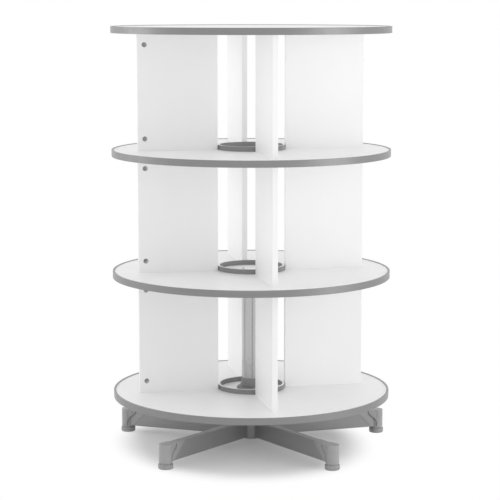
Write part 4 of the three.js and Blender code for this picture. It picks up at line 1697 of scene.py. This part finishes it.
def foot_housing_mesh():
    low, high = housing_low.z, housing_high.z
    skinned = half_leg + HOUSING_SKIN
    foot = add_piece("foot", foot_turned(
        [(0, low), (HOUSING_RADIUS, low), (HOUSING_RADIUS, high), (0, high)],
        HOUSING_EASING, HOUSING_STEPS), HOUSING_PLASTIC)
    shoulder = add_piece("shoulder", drawn_mesh("shoulder", shoulder_plan(), low, high))
    carve(shoulder, sideways_mesh(shoulder_side(), ACROSS), "INTERSECT")
    wedge_section = tube_section(skinned, leg_low.z, high, LEG_CORNER)
    wedge = add_piece("wedge", run_mesh(wedge_section, leg_high.x - MITRE_RUN - BEYOND, foot_reach))
    carve(wedge, sideways_mesh(beyond_mitre(), skinned + BEYOND), "INTERSECT")
    inset = LEG_WALL + FOOT_GAP
    tenon_section = tube_section(half_leg - inset, leg_low.z + inset, leg_high.z - inset,
                                 LEG_INNER_CORNER)
    tenon = run_mesh(tenon_section, leg_high.x - MITRE_RUN - TENON_LENGTH, foot_reach)
    for part in (shoulder.data.copy(), wedge.data.copy(), tenon):
        carve(foot, part, "UNION")
    stem_bore = tube_profile(0, STEM_RADIUS + FOOT_GAP, low - BEYOND, low + STEM_BORE_DEPTH)
    carve(foot, foot_turned(stem_bore, SHARP, BORE_STEPS))
    groove = groove_piece(skinned)
    carve(foot, groove.data.copy())
    mesh = foot.data
    for scrap in (shoulder, wedge, groove, foot):
        bpy.data.objects.remove(scrap)
    return mesh


model_foot = foot_housing_mesh()
print("foot housing", len(model_foot.polygons), "faces")

# %% [markdown]
# The five feet come out of one mould, so one model serves them all. Running the booleans
# again for each foot would only take longer.

# %% Five foot housings
on_every_leg("arm_end", model_foot, HOUSING_PLASTIC, "housing_plastic", "foot_housing")

# %% [markdown]
# ## Levelling glides
# Each glide is a round pad on a threaded stem, screwed up into its foot. The pad is turned:
# a shallow dish underneath, so that it stands on its rim, a rounded edge and a narrower neck.

# %% Glide pads
GLIDE_STEPS = 96
GLIDE_RADIUS = 20.9 * MM
GLIDE_HEIGHT = 17.0 * MM
GLIDE_NECK = 3.5 * MM  # height of the narrower neck on top
GLIDE_NECK_RADIUS = 17.0 * MM
GLIDE_LOWER_ROUND = 3.0 * MM
GLIDE_BEND_SHARE = 0.3  # of the lower round, for the point in its middle
GLIDE_EASING = 1.0 * MM
DISH_RADIUS = 12.0 * MM
DISH_DEPTH = 0.8 * MM
glide_bend = GLIDE_LOWER_ROUND * GLIDE_BEND_SHARE
neck_foot = GLIDE_HEIGHT - GLIDE_NECK

glide_profile = [
    (0, DISH_DEPTH),
    (DISH_RADIUS, DISH_DEPTH),
    (DISH_RADIUS + DISH_DEPTH, 0),
    (GLIDE_RADIUS - GLIDE_LOWER_ROUND, 0),
    (GLIDE_RADIUS - glide_bend, glide_bend),
    (GLIDE_RADIUS, GLIDE_LOWER_ROUND),
    (GLIDE_RADIUS, neck_foot),
    (GLIDE_NECK_RADIUS, neck_foot),
    (GLIDE_NECK_RADIUS, GLIDE_HEIGHT),
    (0, GLIDE_HEIGHT),
]
for i, axis in zip(LEGS, foot_axes):
    mesh = turned_mesh("pad", glide_profile, GLIDE_EASING, GLIDE_STEPS)
    mesh.transform(Matrix.Translation((axis.x, axis.y, 0)))
    pad = add_piece(f"levelling_pad_{i}", mesh, GLIDE_PLASTIC)
    finish_piece(pad, f"glide_{i}", "glide_plastic", f"glide_{i}")

# %% [markdown]
# The thread shows when a glide is let down. A bump could fake it on a plain rod, but its
# outline would stay smooth. It is a small ridge swept along a spiral round a plain core.

# %% Threaded stems
STEM_LENGTH = 35.0 * MM
THREAD_PITCH = 1.5 * MM
THREAD_RIDGE = 0.7 * MM
RIDGE_SIDES = 3
STEM_STEPS = 28


def threaded_stem_tree():
    tree, given = new_rule(
        "threaded_stem", Foot=VECTOR, Core_radius=FLOAT, Ridge=FLOAT, Pitch=FLOAT, Length=FLOAT,
        Steps=COUNT)
    spiral = place(tree, "GeometryNodeCurveSpiral", {
        "Resolution": given["Steps"],
        "Rotations": maths(tree, "DIVIDE", given["Length"], given["Pitch"]),
        "Start Radius": given["Core radius"], "End Radius": given["Core radius"],
        "Height": given["Length"],
    })
    ridge = place(tree, "GeometryNodeCurveToMesh", {
        "Curve": spiral, "Profile Curve": circle_curve(tree, given["Ridge"], RIDGE_SIDES),
        "Fill Caps": True,
    })
    core = place(tree, "GeometryNodeMeshCylinder", {
        "Vertices": given["Steps"], "Radius": given["Core radius"], "Depth": given["Length"],
    })
    half = maths(tree, "MULTIPLY", given["Length"], 0.5)
    core = moved(tree, core, Translation=upright(tree, half))
    stem = place(tree, "GeometryNodeJoinGeometry", {"Geometry": [core, ridge]})
    return close_rule(tree, given, moved(tree, stem, Translation=given["Foot"]))


THREADED_STEM = threaded_stem_tree()

for i, axis in zip(LEGS, foot_axes):
    stem = grow(
        f"levelling_stem_{i}", THREADED_STEM, Foot=(axis.x, axis.y, GLIDE_HEIGHT),
        Core_radius=STEM_RADIUS - THREAD_RIDGE, Ridge=THREAD_RIDGE, Pitch=THREAD_PITCH,
        Length=STEM_LENGTH, Steps=STEM_STEPS, Material=ZINC_STEEL,
    )
    finish_piece(stem, f"glide_{i}", "zinc_steel")

# %% Colour management
bpy.context.scene.view_settings.view_transform = "Standard"
